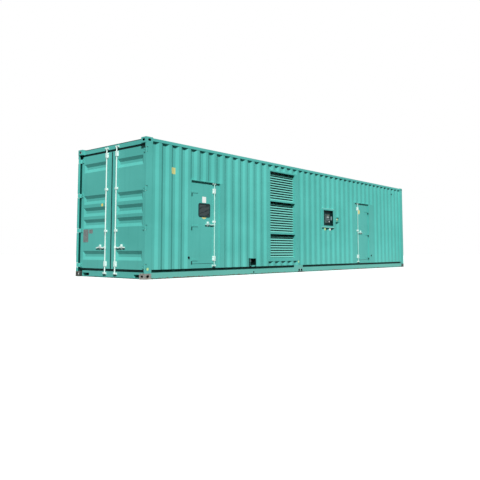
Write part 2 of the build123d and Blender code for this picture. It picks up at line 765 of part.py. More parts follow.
# Control recess
# A sleeve set through the wall with a rim, and the panel at its back with
# a controller, its display, keys, a switch and a latch.
CTRL_BACK = -CREST_Y + CTRL_DEPTH
PANEL_Y = CTRL_BACK - PANEL_T
with BuildPart() as control_recess:
    box(
        CTRL_X0 - CTRL_RIM,
        CTRL_X1 + CTRL_RIM,
        -CREST_Y - RIM_OUT,
        -LINER_Y,
        CTRL_Z0 - CTRL_RIM,
        CTRL_Z1 + CTRL_RIM,
    )
    box(CTRL_X0, CTRL_X1, -HY, CTRL_BACK, CTRL_Z0, CTRL_Z1, Mode.SUBTRACT)
save("control_recess", control_recess)

BEZEL_X0 = CTRL_X0 + BEZEL_IN
BEZEL_Z0 = CTRL_Z0 + BEZEL_UP
BEZEL_Y = PANEL_Y - BEZEL_T
DISPLAY_X = BEZEL_X0 + DISPLAY_IN
with BuildPart() as control_panel:
    box(
        CTRL_X0 + PANEL_EDGE,
        CTRL_X1 - PANEL_EDGE,
        PANEL_Y,
        CTRL_BACK,
        CTRL_Z0 + PANEL_EDGE,
        CTRL_Z1 - PANEL_EDGE,
    )
    box(BEZEL_X0, BEZEL_X0 + BEZEL_W, BEZEL_Y, PANEL_Y, BEZEL_Z0, BEZEL_Z0 + BEZEL_H)
save("control_panel", control_panel)

with BuildPart() as control_instruments:
    display_z = BEZEL_Z0 + DISPLAY_UP
    box(
        DISPLAY_X - DISPLAY_W / 2,
        DISPLAY_X + DISPLAY_W / 2,
        BEZEL_Y - KEY_T,
        BEZEL_Y,
        display_z,
        display_z + DISPLAY_H,
    )
    with Locations((DISPLAY_X, BEZEL_Y - KEY_T / 2, BEZEL_Z0 + KEYS_UP)):
        with GridLocations(KEY_PITCH, 0, KEY_COUNT, 1):
            Box(KEY_W, KEY_T, KEY_W)
    with BuildSketch(Plane.XZ.offset(-BEZEL_Y)):
        with Locations((BEZEL_X0 + SWITCH_IN, BEZEL_Z0 + SWITCH_UP)):
            RegularPolygon(SWITCH_R, KNUCKLE_SIDES)
    extrude(amount=SWITCH_T)
    latch_x = CTRL_X1 - PANEL_EDGE - LATCH_W
    latch_z = CTRL_Z0 + (CTRL_H - LATCH_H) / 2
    box(latch_x - LATCH_W / 2, latch_x + LATCH_W / 2, PANEL_Y - LATCH_T, PANEL_Y, latch_z, latch_z + LATCH_H)
save("control_instruments", control_instruments)

# Emergency stop recess
# A cup in the wall with a square unit at its back and a mushroom button.
STOP_FLOOR = -LINER_Y - STOP_BACK - STOP_WALL
STOP_MID_X = (STOP_X0 + STOP_X1) / 2
STOP_MID_Z = (STOP_Z0 + STOP_Z1) / 2
UNIT_Y = STOP_FLOOR - STOP_UNIT_T
with BuildPart() as stop_box:
    box(STOP_X0, STOP_X1, -CREST_Y - RIM_OUT, -LINER_Y - STOP_BACK, STOP_Z0, STOP_Z1)
    box(
        STOP_X0 + STOP_WALL,
        STOP_X1 - STOP_WALL,
        -HY,
        STOP_FLOOR,
        STOP_Z0 + STOP_WALL,
        STOP_Z1 - STOP_WALL,
        Mode.SUBTRACT,
    )
save("stop_box", stop_box)

with BuildPart() as stop_unit:
    with Locations((STOP_MID_X, UNIT_Y + STOP_UNIT_T / 2, STOP_MID_Z)):
        Box(STOP_UNIT, STOP_UNIT_T, STOP_UNIT)
save("stop_unit", stop_unit)

with BuildPart() as stop_button:
    with BuildSketch(Plane.XZ.offset(-UNIT_Y)) as sk:
        with Locations((STOP_MID_X, STOP_MID_Z)):
            RegularPolygon(STOP_STEM_R, KNUCKLE_SIDES)
    extrude(sk.sketch, amount=STOP_STEM_T)
    with BuildSketch(Plane.XZ.offset(-UNIT_Y + STOP_STEM_T)) as sk:
        with Locations((STOP_MID_X, STOP_MID_Z)):
            RegularPolygon(STOP_BUTTON_R, ROUND_SIDES)
    extrude(sk.sketch, amount=STOP_BUTTON_T)
    chamfer(stop_button.faces().sort_by(Axis.Y)[0].edges(), STOP_BUTTON_EDGE)
save("stop_button", stop_button)

# Filler recess
# A cup low in the wall with the end of a filler pipe and its cap.
FILL_BACK = -CREST_Y + FILL_DEPTH
with BuildPart() as filler_recess:
    box(FILL_X0, FILL_X1, -CREST_Y, -LINER_Y, FILL_Z0, FILL_Z1)
    box(
        FILL_X0 + FILL_WALL,
        FILL_X1 - FILL_WALL,
        -HY,
        FILL_BACK,
        FILL_Z0 + FILL_WALL,
        FILL_Z1 - FILL_WALL,
        Mode.SUBTRACT,
    )
save("filler_recess", filler_recess)

with BuildPart() as filler_cap:
    with BuildSketch(Plane.XZ.offset(-FILL_BACK)):
        with Locations((FILL_X0 + FILL_CAP_IN, FILL_Z1 - FILL_CAP_DOWN)):
            RegularPolygon(FILL_CAP_R, ROUND_SIDES)
    extrude(amount=FILL_CAP_T)
save("filler_cap", filler_cap)

# Cargo doors
# Each leaf has five pressed grooves with sloping sides and ends, four hinge
# straps that hook round the post's lip on to the pins, and half of the pad
# that covers the middle of the seam.
DOOR_FACE = -HX + DOOR_IN
GROOVE_HEIGHTS = [DOOR_Z0 + u for u in GROOVES_UP] + [DOOR_Z1 - GROOVE_DOWN]
GROOVE_Y0 = SEAM / 2 + GROOVE_SEAM
GROOVE_Y1 = DOOR_EDGE_Y - GROOVE_EDGE
GROOVE_X1 = DOOR_FACE + GROOVE_DEPTH
with BuildPart() as groove:
    with BuildSketch(Plane.XZ.offset(-GROOVE_Y1)):
        outline(
            (DOOR_FACE, -GROOVE_H / 2),
            (GROOVE_X1, GROOVE_SLOPE - GROOVE_H / 2),
            (GROOVE_X1, GROOVE_H / 2 - GROOVE_SLOPE),
            (DOOR_FACE, GROOVE_H / 2),
        )
    extrude(amount=GROOVE_Y1 - GROOVE_Y0)
    with BuildSketch(Plane.XY.offset(-GROOVE_H / 2)):
        outline(
            (DOOR_FACE, GROOVE_Y0),
            (GROOVE_X1, GROOVE_Y0 + GROOVE_END),
            (GROOVE_X1, GROOVE_Y1 - GROOVE_END),
            (DOOR_FACE, GROOVE_Y1),
        )
    extrude(amount=GROOVE_H, mode=Mode.INTERSECT)

with BuildPart() as cargo_leaf:
    box(DOOR_FACE, DOOR_FACE + DOOR_T, SEAM / 2, DOOR_EDGE_Y, DOOR_Z0, DOOR_Z1)
    for z in GROOVE_HEIGHTS:
        add(Pos(0, 0, z) * groove.part, mode=Mode.SUBTRACT)
    for z in STRAP_HEIGHTS:
        with BuildSketch(Plane.XY.offset(z - STRAP_H / 2)) as sk:
            outline(
                (PIN_X, PIN_Y - KNUCKLE_R),
                (PIN_X, PIN_Y + WRAP_OUT),
                (PIN_X + WRAP_X - WRAP_CUT, PIN_Y + WRAP_OUT),
                (PIN_X + WRAP_X, PIN_Y + WRAP_OUT - WRAP_CUT),
                (PIN_X + WRAP_X, PIN_Y - WRAP_Y),
                (DOOR_FACE, PIN_Y - WRAP_Y - STRAP_BEND),
                (DOOR_FACE, PIN_Y - STRAP_L),
                (DOOR_FACE - STRAP_T, PIN_Y - STRAP_L),
                (DOOR_FACE - STRAP_T, PIN_Y - WRAP_Y - STRAP_BEND - STRAP_SLANT),
                (PIN_X + WRAP_X - STRAP_T, PIN_Y - WRAP_Y - STRAP_SLANT),
                (PIN_X + WRAP_X - STRAP_T, PIN_Y - KNUCKLE_R),
            )
            with Locations((PIN_X, PIN_Y)):
                RegularPolygon(KNUCKLE_R, KNUCKLE_SIDES)
                RegularPolygon(PIN_R + PIN_GAP, KNUCKLE_SIDES, major_radius=False, mode=Mode.SUBTRACT)
        extrude(sk.sketch, amount=STRAP_H)
    box(DOOR_FACE, DOOR_FACE + PAD_T, PAD_GAP, SEAM / 2, DOOR_Z0 + PAD_UP, DOOR_Z0 + PAD_UP + PAD_H)
save("cargo_door_left", cargo_leaf)
save("cargo_door_right", mirrored(cargo_leaf))

# Door seals stand off the frame all round.
with BuildPart() as cargo_seal:
    box(
        DOOR_FACE + SEAL_X0,
        DOOR_FACE + SEAL_X1,
        SEAL_SEAM,
        DOOR_EDGE_Y + SEAL_OUT,
        DOOR_Z0 - SEAL_DOWN,
        DOOR_Z1 + SEAL_UP,
    )
    box(DOOR_FACE, DOOR_FACE + DOOR_T, SEAM / 2, DOOR_EDGE_Y, DOOR_Z0, DOOR_Z1, Mode.SUBTRACT)
save("cargo_seal_left", cargo_seal)
save("cargo_seal_right", mirrored(cargo_seal))


# Lock gear
# A lock is the place of its rod, the direction of its handle, the direction
# of its leaf and how far off the leaf is. u runs towards the handle's end
# and v towards the leaf.
def spot(lock, u, v):
    """The point (u, v) of a lock, seen from above."""
    x, y, hx, hy, lx, ly = lock[:6]
    return (x + u * hx + v * lx, y + u * hy + v * ly)


def block(lock, u0, u1, v0, v1, z0, z1):
    """A rectangular solid placed by a lock's directions."""
    xa, ya = spot(lock, u0, v0)
    xb, yb = spot(lock, u1, v1)
    box(min(xa, xb), max(xa, xb), min(ya, yb), max(ya, yb), z0, z1)


def guides(lock, heights_and_lengths):
    """Folded brackets that hold the rod against the leaf."""
    reach = lock[-1]
    bore = ROD_R + GUIDE_CLEAR
    side = bore + GUIDE_T
    profile = [
        (-GUIDE_FOOT, reach),
        (-GUIDE_FOOT, reach - GUIDE_T),
        (-side, reach - GUIDE_T),
        (-side, -side),
        (side, -side),
        (side, reach - GUIDE_T),
        (GUIDE_FOOT, reach - GUIDE_T),
        (GUIDE_FOOT, reach),
        (bore, reach),
        (bore, -bore),
        (-bore, -bore),
        (-bore, reach),
    ]
    with BuildPart() as piece:
        for z, length in heights_and_lengths:
            with BuildSketch(Plane.XY.offset(z - length / 2)) as sk:
                outline(*[spot(lock, u, v) for u, v in profile])
            extrude(sk.sketch, amount=length)
    return piece


def handle_catch(lock, z):
    """The bracket on the leaf, with a shelf under the handle and an arm over it."""
    back = lock[-1] - CATCH_T
    low = z + HANDLE_RISE - HANDLE_H / 2 - CATCH_GAP
    high = z + HANDLE_RISE + HANDLE_H / 2 + CATCH_GAP
    left = CATCH_AT - CATCH_W / 2
    right = CATCH_AT + CATCH_W / 2
    arm = CATCH_ARM / 2
    with BuildPart() as piece:
        block(lock, left, right, back, back + CATCH_T, low - CATCH_ARM_H, high + CATCH_ARM_H)
        block(lock, left, right, -CATCH_OUT, back, low - CATCH_T, low)
        block(lock, CATCH_AT - arm, CATCH_AT + arm, -CATCH_OUT, back, high, high + CATCH_ARM_H)
    return piece


def lock_rod(lock, z0, z1, hub_z):
    """The rod with the collar that carries its handle."""
    x, y = lock[0], lock[1]
    with BuildPart() as piece:
        with BuildSketch(Plane.XY.offset(z0)) as sk:
            with Locations((x, y)):
                RegularPolygon(ROD_R, ROUND_SIDES)
        extrude(sk.sketch, amount=z1 - z0)
        with BuildSketch(Plane.XY.offset(hub_z - HUB_H / 2)) as sk:
            with Locations((x, y)):
                RegularPolygon(HUB_R, 8, major_radius=False, rotation=22.5)
        extrude(sk.sketch, amount=HUB_H)
    return piece


def lock_cams(lock, z0, z1):
    """The two-horned cams on the rod's ends, turned to the handle's side."""
    profile = [
        (-CAM_BACK, -CAM_BACK),
        (CAM_BACK, -CAM_HALF),
        (CAM_REACH, -CAM_BACK),
        (CAM_REACH, -CAM_NOTCH / 2),
        (CAM_REACH - CAM_NOTCH, -CAM_NOTCH / 2),
        (CAM_REACH - CAM_NOTCH, CAM_NOTCH / 2),
        (CAM_REACH, CAM_NOTCH / 2),
        (CAM_REACH, CAM_BACK),
        (CAM_BACK, CAM_HALF),
        (-CAM_BACK, CAM_BACK),
    ]
    with BuildPart() as piece:
        for z in (z0 - CAM_T, z1):
            with BuildSketch(Plane.XY.offset(z)) as sk:
                outline(*[spot(lock, u, v) for u, v in profile])
            extrude(sk.sketch, amount=CAM_T)
    return piece


def lock_handle(lock, z, length):
    """The handle, a flat bar that dips beside the collar and rises to its catch."""
    x, y, hx, hy, lx, ly = lock[:6]
    up = lx * hy - ly * hx
    plane = Plane(origin=(x, y, z), x_dir=(hx, hy, 0), z_dir=(lx, ly, 0))
    middle = [(HUB_R, 0), *HANDLE_BENDS]
    over = [(u, up * (w + HANDLE_H / 2)) for u, w in middle]
    under = [(u, up * (w - HANDLE_H / 2)) for u, w in middle]
    tip = [
        (length - HANDLE_TIP, up * HANDLE_TIP_H / 2),
        (length, up * (HANDLE_TIP_H / 2 - HANDLE_DROOP)),
        (length, -up * (HANDLE_TIP_H / 2 + HANDLE_DROOP)),
        (length - HANDLE_TIP, -up * (HANDLE_TIP_H / 2 + HANDLE_DROOP)),
    ]
    with BuildPart() as piece:
        with BuildSketch(plane.offset(-HANDLE_T / 2)) as sk:
            outline(*over, *tip, *reversed(under))
        extrude(sk.sketch, amount=HANDLE_T)
    return piece


def keepers(lock, middles_and_heights):
    """A lug on each side of every rod's end, open in front."""
    hx, hy, lx, ly, reach = lock[2:]
    with BuildPart() as piece:
        for u in (-ROD_R - KEEPER_GAP - KEEPER_T, CAM_REACH + KEEPER_GAP):
            for z, height in middles_and_heights:
                plane = Plane(origin=(*spot(lock, u, reach), z), x_dir=(-lx, -ly, 0), z_dir=(hx, hy, 0))
                with BuildSketch(plane) as sk:
                    outline(
                        (0, height / 2),
                        (0, -height / 2),
                        (KEEPER_OUT - KEEPER_BEVEL, -height / 2),
                        (KEEPER_OUT, KEEPER_BEVEL - height / 2),
                        (KEEPER_OUT, height / 2 - KEEPER_BEVEL),
                        (KEEPER_OUT - KEEPER_BEVEL, height / 2),
                    )
                extrude(sk.sketch, amount=KEEPER_T)
    return piece


# Cargo lock gear
CARGO_LOCK = (ROD_X, ROD_Y, 0, 1, 1, 0, ROD_OFF)
cargo_guide_places = [(z, GUIDE_LARGE) for z in GUIDES_LARGE] + [(z, GUIDE_SMALL) for z in GUIDES_SMALL]
cargo_guides = guides(CARGO_LOCK, cargo_guide_places)
cargo_catch = handle_catch(CARGO_LOCK, HANDLE_Z)
save("cargo_guides_left", cargo_guides, cargo_catch)
save("cargo_guides_right", mirrored(cargo_guides), mirrored(cargo_catch))

cargo_rod = lock_rod(CARGO_LOCK, ROD_Z0, ROD_Z1, HANDLE_Z)
cargo_cams = lock_cams(CARGO_LOCK, ROD_Z0, ROD_Z1)
cargo_handle = lock_handle(CARGO_LOCK, HANDLE_Z, HANDLE_L)
save("cargo_lock_left", cargo_rod, cargo_cams, cargo_handle)
save("cargo_lock_right", mirrored(cargo_rod), mirrored(cargo_cams), mirrored(cargo_handle))

# Side doors
SROD_Y = FACE_Y + SIDE_ROD_OFF
SROD1_X = LEAF1_X1 - SIDE_ROD_IN
SROD2_X = LEAF2_X0 + SIDE_ROD_IN
SIDE_LOCK_1 = (SROD1_X, -SROD_Y, -1, 0, 0, 1, SIDE_ROD_OFF)
SIDE_LOCK_2 = (SROD2_X, -SROD_Y, 1, 0, 0, 1, SIDE_ROD_OFF)
PANE_X0 = LEAF1_X0 + PANE_IN
PANE_X1 = PANE_X0 + PANE_W
PANE_Z0 = LEAF_Z0 + PANE_UP
PANE_Z1 = PANE_Z0 + PANE_H
with BuildPart() as side_leaf_1:
    box(LEAF1_X0, LEAF1_X1, -FACE_Y, -LINER_Y, LEAF_Z0, LEAF_Z1)
    box(PANE_X0, PANE_X1, -HY, -LINER_Y + 1, PANE_Z0, PANE_Z1, Mode.SUBTRACT)
with BuildPart() as side_straps_1:
    leaf_hinges(PIN1_X, 1)
save("side_door_1", side_leaf_1, side_straps_1)

with BuildPart() as side_door_glass:
    box(PANE_X0, PANE_X1, -FACE_Y - PANE_SET, -FACE_Y - PANE_SET + PANE_T, PANE_Z0, PANE_Z1)
save("side_door_glass", side_door_glass)

with BuildPart() as side_leaf_2:
    box(LEAF2_X0, LEAF2_X1, -FACE_Y, -LINER_Y, LEAF_Z0, LEAF_Z1)
with BuildPart() as side_straps_2:
    leaf_hinges(PIN2_X, -1)
save("side_door_2", side_leaf_2, side_straps_2)

side_guide_places = [(z, GUIDE_LARGE) for z in SGUIDES_LARGE] + [(SGUIDE_SMALL, GUIDE_SMALL)]
for number, lock in ((1, SIDE_LOCK_1), (2, SIDE_LOCK_2)):
    save(f"side_guides_{number}", guides(lock, side_guide_places), handle_catch(lock, SHANDLE_Z))
    save(
        f"side_lock_{number}",
        lock_rod(lock, SROD_Z0, SROD_Z1, SHANDLE_Z),
        lock_cams(lock, SROD_Z0, SROD_Z1),
        lock_handle(lock, SHANDLE_Z, SHANDLE_L),
    )

# Cam keepers, on the header, the sill and the side door frames
cargo_keepers = keepers(CARGO_LOCK, ((ROD_Z0, KEEPER_H), (ROD_Z1, KEEPER_H)))
side_keeper_places = ((SROD_Z0, KEEPER_H), (SROD_Z1 + CAM_T / 2, KEEPER_H - CAM_T))
save(
    "cam_keepers",
    cargo_keepers,
    mirrored(cargo_keepers),
    keepers(SIDE_LOCK_1, side_keeper_places),
    keepers(SIDE_LOCK_2, side_keeper_places),
)
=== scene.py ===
"""Looks of a silent generator set in a 40 ft high-cube housing.

All sizes are in metres. X runs along the housing away from the cargo doors, the
side doors and the controls face -Y, and the ground is at Z = 0.
"""

import math

import bmesh
import bpy
from mathutils import Matrix, Vector


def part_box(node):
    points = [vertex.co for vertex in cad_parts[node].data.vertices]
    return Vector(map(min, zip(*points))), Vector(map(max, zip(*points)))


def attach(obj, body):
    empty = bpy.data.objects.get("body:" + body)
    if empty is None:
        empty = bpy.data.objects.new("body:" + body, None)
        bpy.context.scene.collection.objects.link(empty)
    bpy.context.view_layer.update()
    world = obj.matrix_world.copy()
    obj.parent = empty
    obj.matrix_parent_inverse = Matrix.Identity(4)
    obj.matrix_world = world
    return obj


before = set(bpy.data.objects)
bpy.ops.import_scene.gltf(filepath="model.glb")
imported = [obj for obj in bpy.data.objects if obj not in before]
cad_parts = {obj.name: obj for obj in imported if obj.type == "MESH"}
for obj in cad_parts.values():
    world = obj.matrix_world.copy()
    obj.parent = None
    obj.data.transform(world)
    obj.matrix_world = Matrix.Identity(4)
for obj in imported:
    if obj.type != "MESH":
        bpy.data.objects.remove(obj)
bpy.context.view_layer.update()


# Frame of the housing
# Rolled and folded steel, welded together and sprayed semi-gloss turquoise. Rain
# leaves faint streaks on it, and dust settles on its lower part.
class Value:
    """A socket of a tree, which takes part in sums as a number does."""

    def __init__(self, tree, socket):
        self.tree = tree
        self.socket = socket

    def math(self, operation, *others):
        return self.tree.add("ShaderNodeMath", {"operation": operation}, [self, *others])

    def __add__(self, other):
        return self.math("ADD", other)

    __radd__ = __add__

    def __mul__(self, other):
        return self.math("MULTIPLY", other)

    __rmul__ = __mul__

    def __sub__(self, other):
        return self.math("SUBTRACT", other)

    def __rsub__(self, other):
        return self.tree.add("ShaderNodeMath", {"operation": "SUBTRACT"}, [other, self])

    def __truediv__(self, other):
        return self.math("DIVIDE", other)

    def __abs__(self):
        return self.math("ABSOLUTE")

    def __lt__(self, other):
        return self.math("LESS_THAN", other)

    def __gt__(self, other):
        return self.math("GREATER_THAN", other)

    def within(self, low, high):
        """1 between low and high, and 0 elsewhere."""
        return (self > low) * (self < high)

    def ease(self, low, high):
        """0 below low and 1 above high, with a smooth step between."""
        settings = {"interpolation_type": "SMOOTHSTEP"}
        return self.tree.add("ShaderNodeMapRange", settings, [self, low, high])


def colour(red, green, blue):
    """A screen colour of 0 to 255 as the linear colour a shader takes."""
    parts = [v / 255 for v in (red, green, blue)]
    return (*[v / 12.92 if v <= 0.04045 else ((v + 0.055) / 1.055) ** 2.4 for v in parts], 1.0)


class Tree:
    """The nodes of a material or of the world, added one by one."""

    def __init__(self, owner):
        owner.use_nodes = True
        self.nodes = owner.node_tree.nodes
        self.links = owner.node_tree.links

    def join(self, socket, value):
        """Link a value to a socket, or set the socket to a number or a colour."""
        if isinstance(value, Value):
            self.links.new(value.socket, socket)
        else:
            socket.default_value = value

    def add(self, kind, settings=None, inputs=(), out=0):
        """Add a node, with its settings first and then its sockets."""
        node = self.nodes.new(kind)
        for key, value in (settings or {}).items():
            setattr(node, key, value)
        pairs = inputs.items() if isinstance(inputs, dict) else enumerate(inputs)
        for key, value in pairs:
            self.join(node.inputs[key], value)
        if isinstance(out, tuple):
            return [Value(self, node.outputs[n]) for n in out]
        return Value(self, node.outputs[out])


class Finish(Tree):
    """A paint, metal, rubber or plastic, patterned by the place on its piece."""

    def __init__(self, name):
        self.material = bpy.data.materials.new(name)
        super().__init__(self.material)
        self.shader = self.nodes["Principled BSDF"]
        self.place, self.normal = self.add("ShaderNodeTexCoord", out=(3, 1))
        self.x, self.y, self.z = self.parts(self.place)

    def parts(self, vector):
        """The three numbers of a place, a direction or a colour."""
        return self.add("ShaderNodeSeparateXYZ", inputs=[vector], out=(0, 1, 2))

    def noise(self, scale, detail=3, roughness=0.5, stretch=(1, 1, 1)):
        """Noise on the piece's own place, which may be stretched by direction."""
        spread = self.add("ShaderNodeVectorMath", {"operation": "MULTIPLY"}, [self.place, stretch])
        sockets = {"Vector": spread, "Scale": scale, "Detail": detail, "Roughness": roughness}
        return self.add("ShaderNodeTexNoise", {}, sockets)

    def underside(self, low, high):
        """1 on faces that look down, and 0 on level and upper ones."""
        return (self.parts(self.normal)[2] * -1).ease(low, high)

    def mix(self, share, first, second):
        """A blend of two colours, each a value or a screen colour of 0 to 255."""
        tones = [tone if isinstance(tone, Value) else colour(*tone) for tone in (first, second)]
        sockets = {0: share, 6: tones[0], 7: tones[1]}
        return self.add("ShaderNodeMix", {"data_type": "RGBA"}, sockets, out=2)

    def feed(self, name, value):
        """Link or set one of the shader's sockets."""
        self.join(self.shader.inputs[name], value)

    def bump(self, height, distance, strength=1.0):
        """Small relief from a height between 0 and 1."""
        sockets = {"Strength": strength, "Distance": distance, "Height": height}
        self.feed("Normal", self.add("ShaderNodeBump", {}, sockets))

    def coat(self, *solids):
        """Give solids of the frame this finish."""
        for name in solids:
            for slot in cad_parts[name].material_slots:
                slot.material = self.material


def turquoise(finish):
    """The colour of the housing's paint, with its fading, streaks and dust."""
    cloud = finish.noise(1.3, 4, stretch=(0.5, 0.5, 0.8))
    streak = finish.noise(1.0, 4, 0.6, stretch=(14, 14, 0.5))
    speckle = finish.noise(90, 2)
    coat = finish.mix(cloud.ease(0.3, 0.7), (87, 180, 171), (95, 190, 181))
    coat = finish.mix(streak.ease(0.52, 0.8) * 0.16, coat, (48, 138, 131))
    coat = finish.mix((1 - streak.ease(0.2, 0.45)) * 0.10, coat, (96, 202, 188))
    low = 1 - finish.z.ease(0.05, 0.75)
    dust = low * speckle.ease(0.35, 0.75) * (streak.ease(0.3, 0.7) * 0.5 + 0.5)
    return finish.mix(dust * 0.16, coat, (150, 166, 150))


def spray(finish, tone):
    """Give a finish the tone and surface of paint: some gloss, orange peel and waviness."""
    haze = finish.noise(7, 4)
    peel = finish.noise(420, 2)
    wave = finish.noise(2.2, 2, stretch=(1, 1, 0.35))
    finish.feed("Base Color", tone)
    finish.feed("Roughness", haze * 0.16 + 0.34)
    finish.feed("Specular IOR Level", 0.06)
    finish.bump(peel * 0.04 + wave, 0.004, 0.5)


housing_paint = Finish("housing_paint")
spray(housing_paint, turquoise(housing_paint))
housing_paint.coat("far_end_frame", "top_side_rails", "door_sill")

# Door header
# The folded beam over the cargo doors, welded between the posts and painted with them. Painted
# shadow darkens the upper edge of its face.
edge_shade_foot = 2.868
edge_shade_full = 2.876
header_paint = Finish("header_paint")
header_shade_noise = header_paint.noise(9, 4)
# Painted shadow: a dark band along the top of the header's face at the door end.
header_edge_shade = (header_paint.z + header_shade_noise * 0.006).ease(edge_shade_foot, edge_shade_full)
header_edge_shade = header_edge_shade * (header_paint.x < -6.0)
header_shade_tone = header_paint.mix(header_shade_noise, (28, 74, 70), (48, 104, 98))
spray(header_paint, header_paint.mix(header_edge_shade, turquoise(header_paint), header_shade_tone))
header_paint.coat("door_header")

# Door end posts
# Heavy rolled corner posts. Painted shade darkens the corner behind the hinges, where the seals of
# the leaves press against them.
corner_shade_edge = 1.1895
corner_shade_front = -6.054
post_paint = Finish("post_paint")
corner_shade_noise = post_paint.noise(12, 4, stretch=(1, 1, 0.4))
corner_shade_tone = post_paint.mix(corner_shade_noise, (8, 52, 50), (22, 80, 75))
# Painted shade on the post's inner face behind the hinges.
corner_shade_share = post_paint.x + corner_shade_noise * 0.004 > corner_shade_front
corner_shade_share = corner_shade_share * (abs(post_paint.y) < corner_shade_edge)
spray(post_paint, post_paint.mix(corner_shade_share, turquoise(post_paint), corner_shade_tone))
post_paint.coat("door_end_posts")


# Earth points
# A flush stud in the near door post, and a zinc-plated bolt with its washer on the
# wall beside the mid casting, each on a round yellow-green disc.
def soften(mesh, sharp=0.6):
    """Shade a mesh smooth but keep its sharp edges."""
    for face in mesh.faces:
        face.smooth = True
    for edge in mesh.edges:
        if edge.is_manifold and edge.calc_face_angle() > sharp:
            edge.smooth = False


def shown(name, data):
    """Put a mesh, a lamp or the camera into the scene, at the origin."""
    thing = bpy.data.objects.new(name, data)
    bpy.context.scene.collection.objects.link(thing)
    return thing


def piece(name, mesh, finish, body):
    """Make a finished mesh a piece that moves with a body."""
    bmesh.ops.remove_doubles(mesh, verts=mesh.verts, dist=0.00002)
    bmesh.ops.recalc_face_normals(mesh, faces=mesh.faces)
    soften(mesh)
    data = bpy.data.meshes.new(name)
    mesh.to_mesh(data)
    mesh.free()
    data.materials.append(finish.material)
    thing = shown(name, data)
    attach(thing, body)


def turned(mesh, spot, facing, profile, steps=24):
    """A turned shape, from the radius and the height along facing of its points."""
    spot, facing = Vector(spot), Vector(facing)
    side = facing.orthogonal().normalized()
    verts = [mesh.verts.new(spot + side * radius + facing * height) for radius, height in profile]
    edges = [mesh.edges.new(pair) for pair in zip(verts, verts[1:])]
    line = [*verts, *edges]
    bmesh.ops.spin(
        mesh, geom=line, cent=spot, axis=facing, angle=math.tau, steps=steps, use_merge=True
    )


def disc(mesh, spot, facing, radius, thick, steps=24):
    """A thin round plate with a softened edge."""
    lip = min(thick, radius) * 0.3
    profile = [(0, 0), (radius, 0), (radius, thick - lip), (radius - lip, thick), (0, thick)]
    turned(mesh, spot, facing, profile, steps)


def rounded(mesh, geom, width, steps, affect="EDGES"):
    """Round edges, or the corners of a face, over a width."""
    bmesh.ops.bevel(
        mesh, geom=geom, offset=width, affect=affect, segments=steps, profile=0.5, material=-1
    )


def bolt(mesh, spot, facing, across, tall):
    """One hexagon head on a washer, pointing along facing."""
    spot, facing = Vector(spot), Vector(facing)
    washer = 0.0018
    seat = 0.0016
    washer_line = [(0, 0), (across * 0.68, 0), (across * 0.66, washer), (0, washer)]
    turned(mesh, spot, facing, washer_line, 14)
    turn = Vector((0, 0, 1)).rotation_difference(facing).to_matrix().to_4x4()
    head = bmesh.ops.create_cone(
        mesh,
        cap_ends=True,
        segments=6,
        radius1=across * 0.577,
        radius2=across * 0.577,
        depth=tall,
        matrix=Matrix.Translation(spot) @ turn @ Matrix.Translation((0, 0, seat + tall / 2)),
    )
    level = (spot + facing * (tall + seat)).dot(facing) - 0.0005
    edges = {edge for vert in head["verts"] for edge in vert.link_edges}
    rim = [edge for edge in edges if all(v.co.dot(facing) > level for v in edge.verts)]
    rounded(mesh, rim, across * 0.06, 1)


def mottled(name, scale, first, second, rough, relief, steps=None, spread=0.2):
    """A finish whose colour, roughness and relief follow one noise.

    The first tone gives way to the second over steps, or else evenly, and the
    roughness rises from rough by spread.
    """
    finish = Finish(name)
    fleck = finish.noise(scale, 4)
    share = fleck.ease(*steps) if steps else fleck
    finish.feed("Base Color", finish.mix(share, first, second))
    finish.feed("Roughness", fleck * spread + rough)
    finish.bump(fleck, relief)
    return finish


sticker_lime = mottled(
    "sticker_lime", 70, (182, 222, 120), (214, 238, 152), rough=0.4, relief=0.0002
)

zinc = Finish("zinc")
spangle = zinc.add("ShaderNodeTexVoronoi", {}, {"Vector": zinc.place, "Scale": 130.0}, out=1)
spangle_grey = zinc.parts(spangle)[0]
zinc_stain = zinc.noise(9, 5, 0.6, stretch=(1, 1, 0.4))
zinc_tone = zinc.mix(spangle_grey, (206, 228, 222), (238, 250, 246))
zinc_tone = zinc.mix(zinc_stain.ease(0.55, 0.8) * 0.4, zinc_tone, (140, 160, 152))
# Painted shade on faces that look down.
zinc.feed("Base Color", zinc.mix(zinc.underside(0.3, 0.7) * 0.85, zinc_tone, (40, 70, 66)))
zinc.feed("Metallic", 0.15)
zinc.feed("Roughness", spangle_grey * 0.12 + zinc_stain * 0.15 + 0.3)
zinc.bump(zinc_stain, 0.0008)

near_way = (0, -1, 0)
post_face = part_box("door_end_posts")[0].y
wall_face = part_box("near_wall_panels")[0].y
post_point = (-6.016, post_face, 0.205)
wall_point = (-0.692, wall_face, 0.283)
sticker_thick = 0.0006
earth_discs = bmesh.new()
for point in (post_point, wall_point):
    disc(earth_discs, point, near_way, 0.028, sticker_thick)
piece("earth_discs", earth_discs, sticker_lime, "housing")
earth_studs = bmesh.new()
turned(earth_studs, post_point, near_way, [(0.008, 0), (0.0075, 0.0009), (0, 0.0009)], 16)
bolt(earth_studs, wall_point, near_way, 0.013, 0.004)
piece("earth_studs", earth_studs, zinc, "housing")
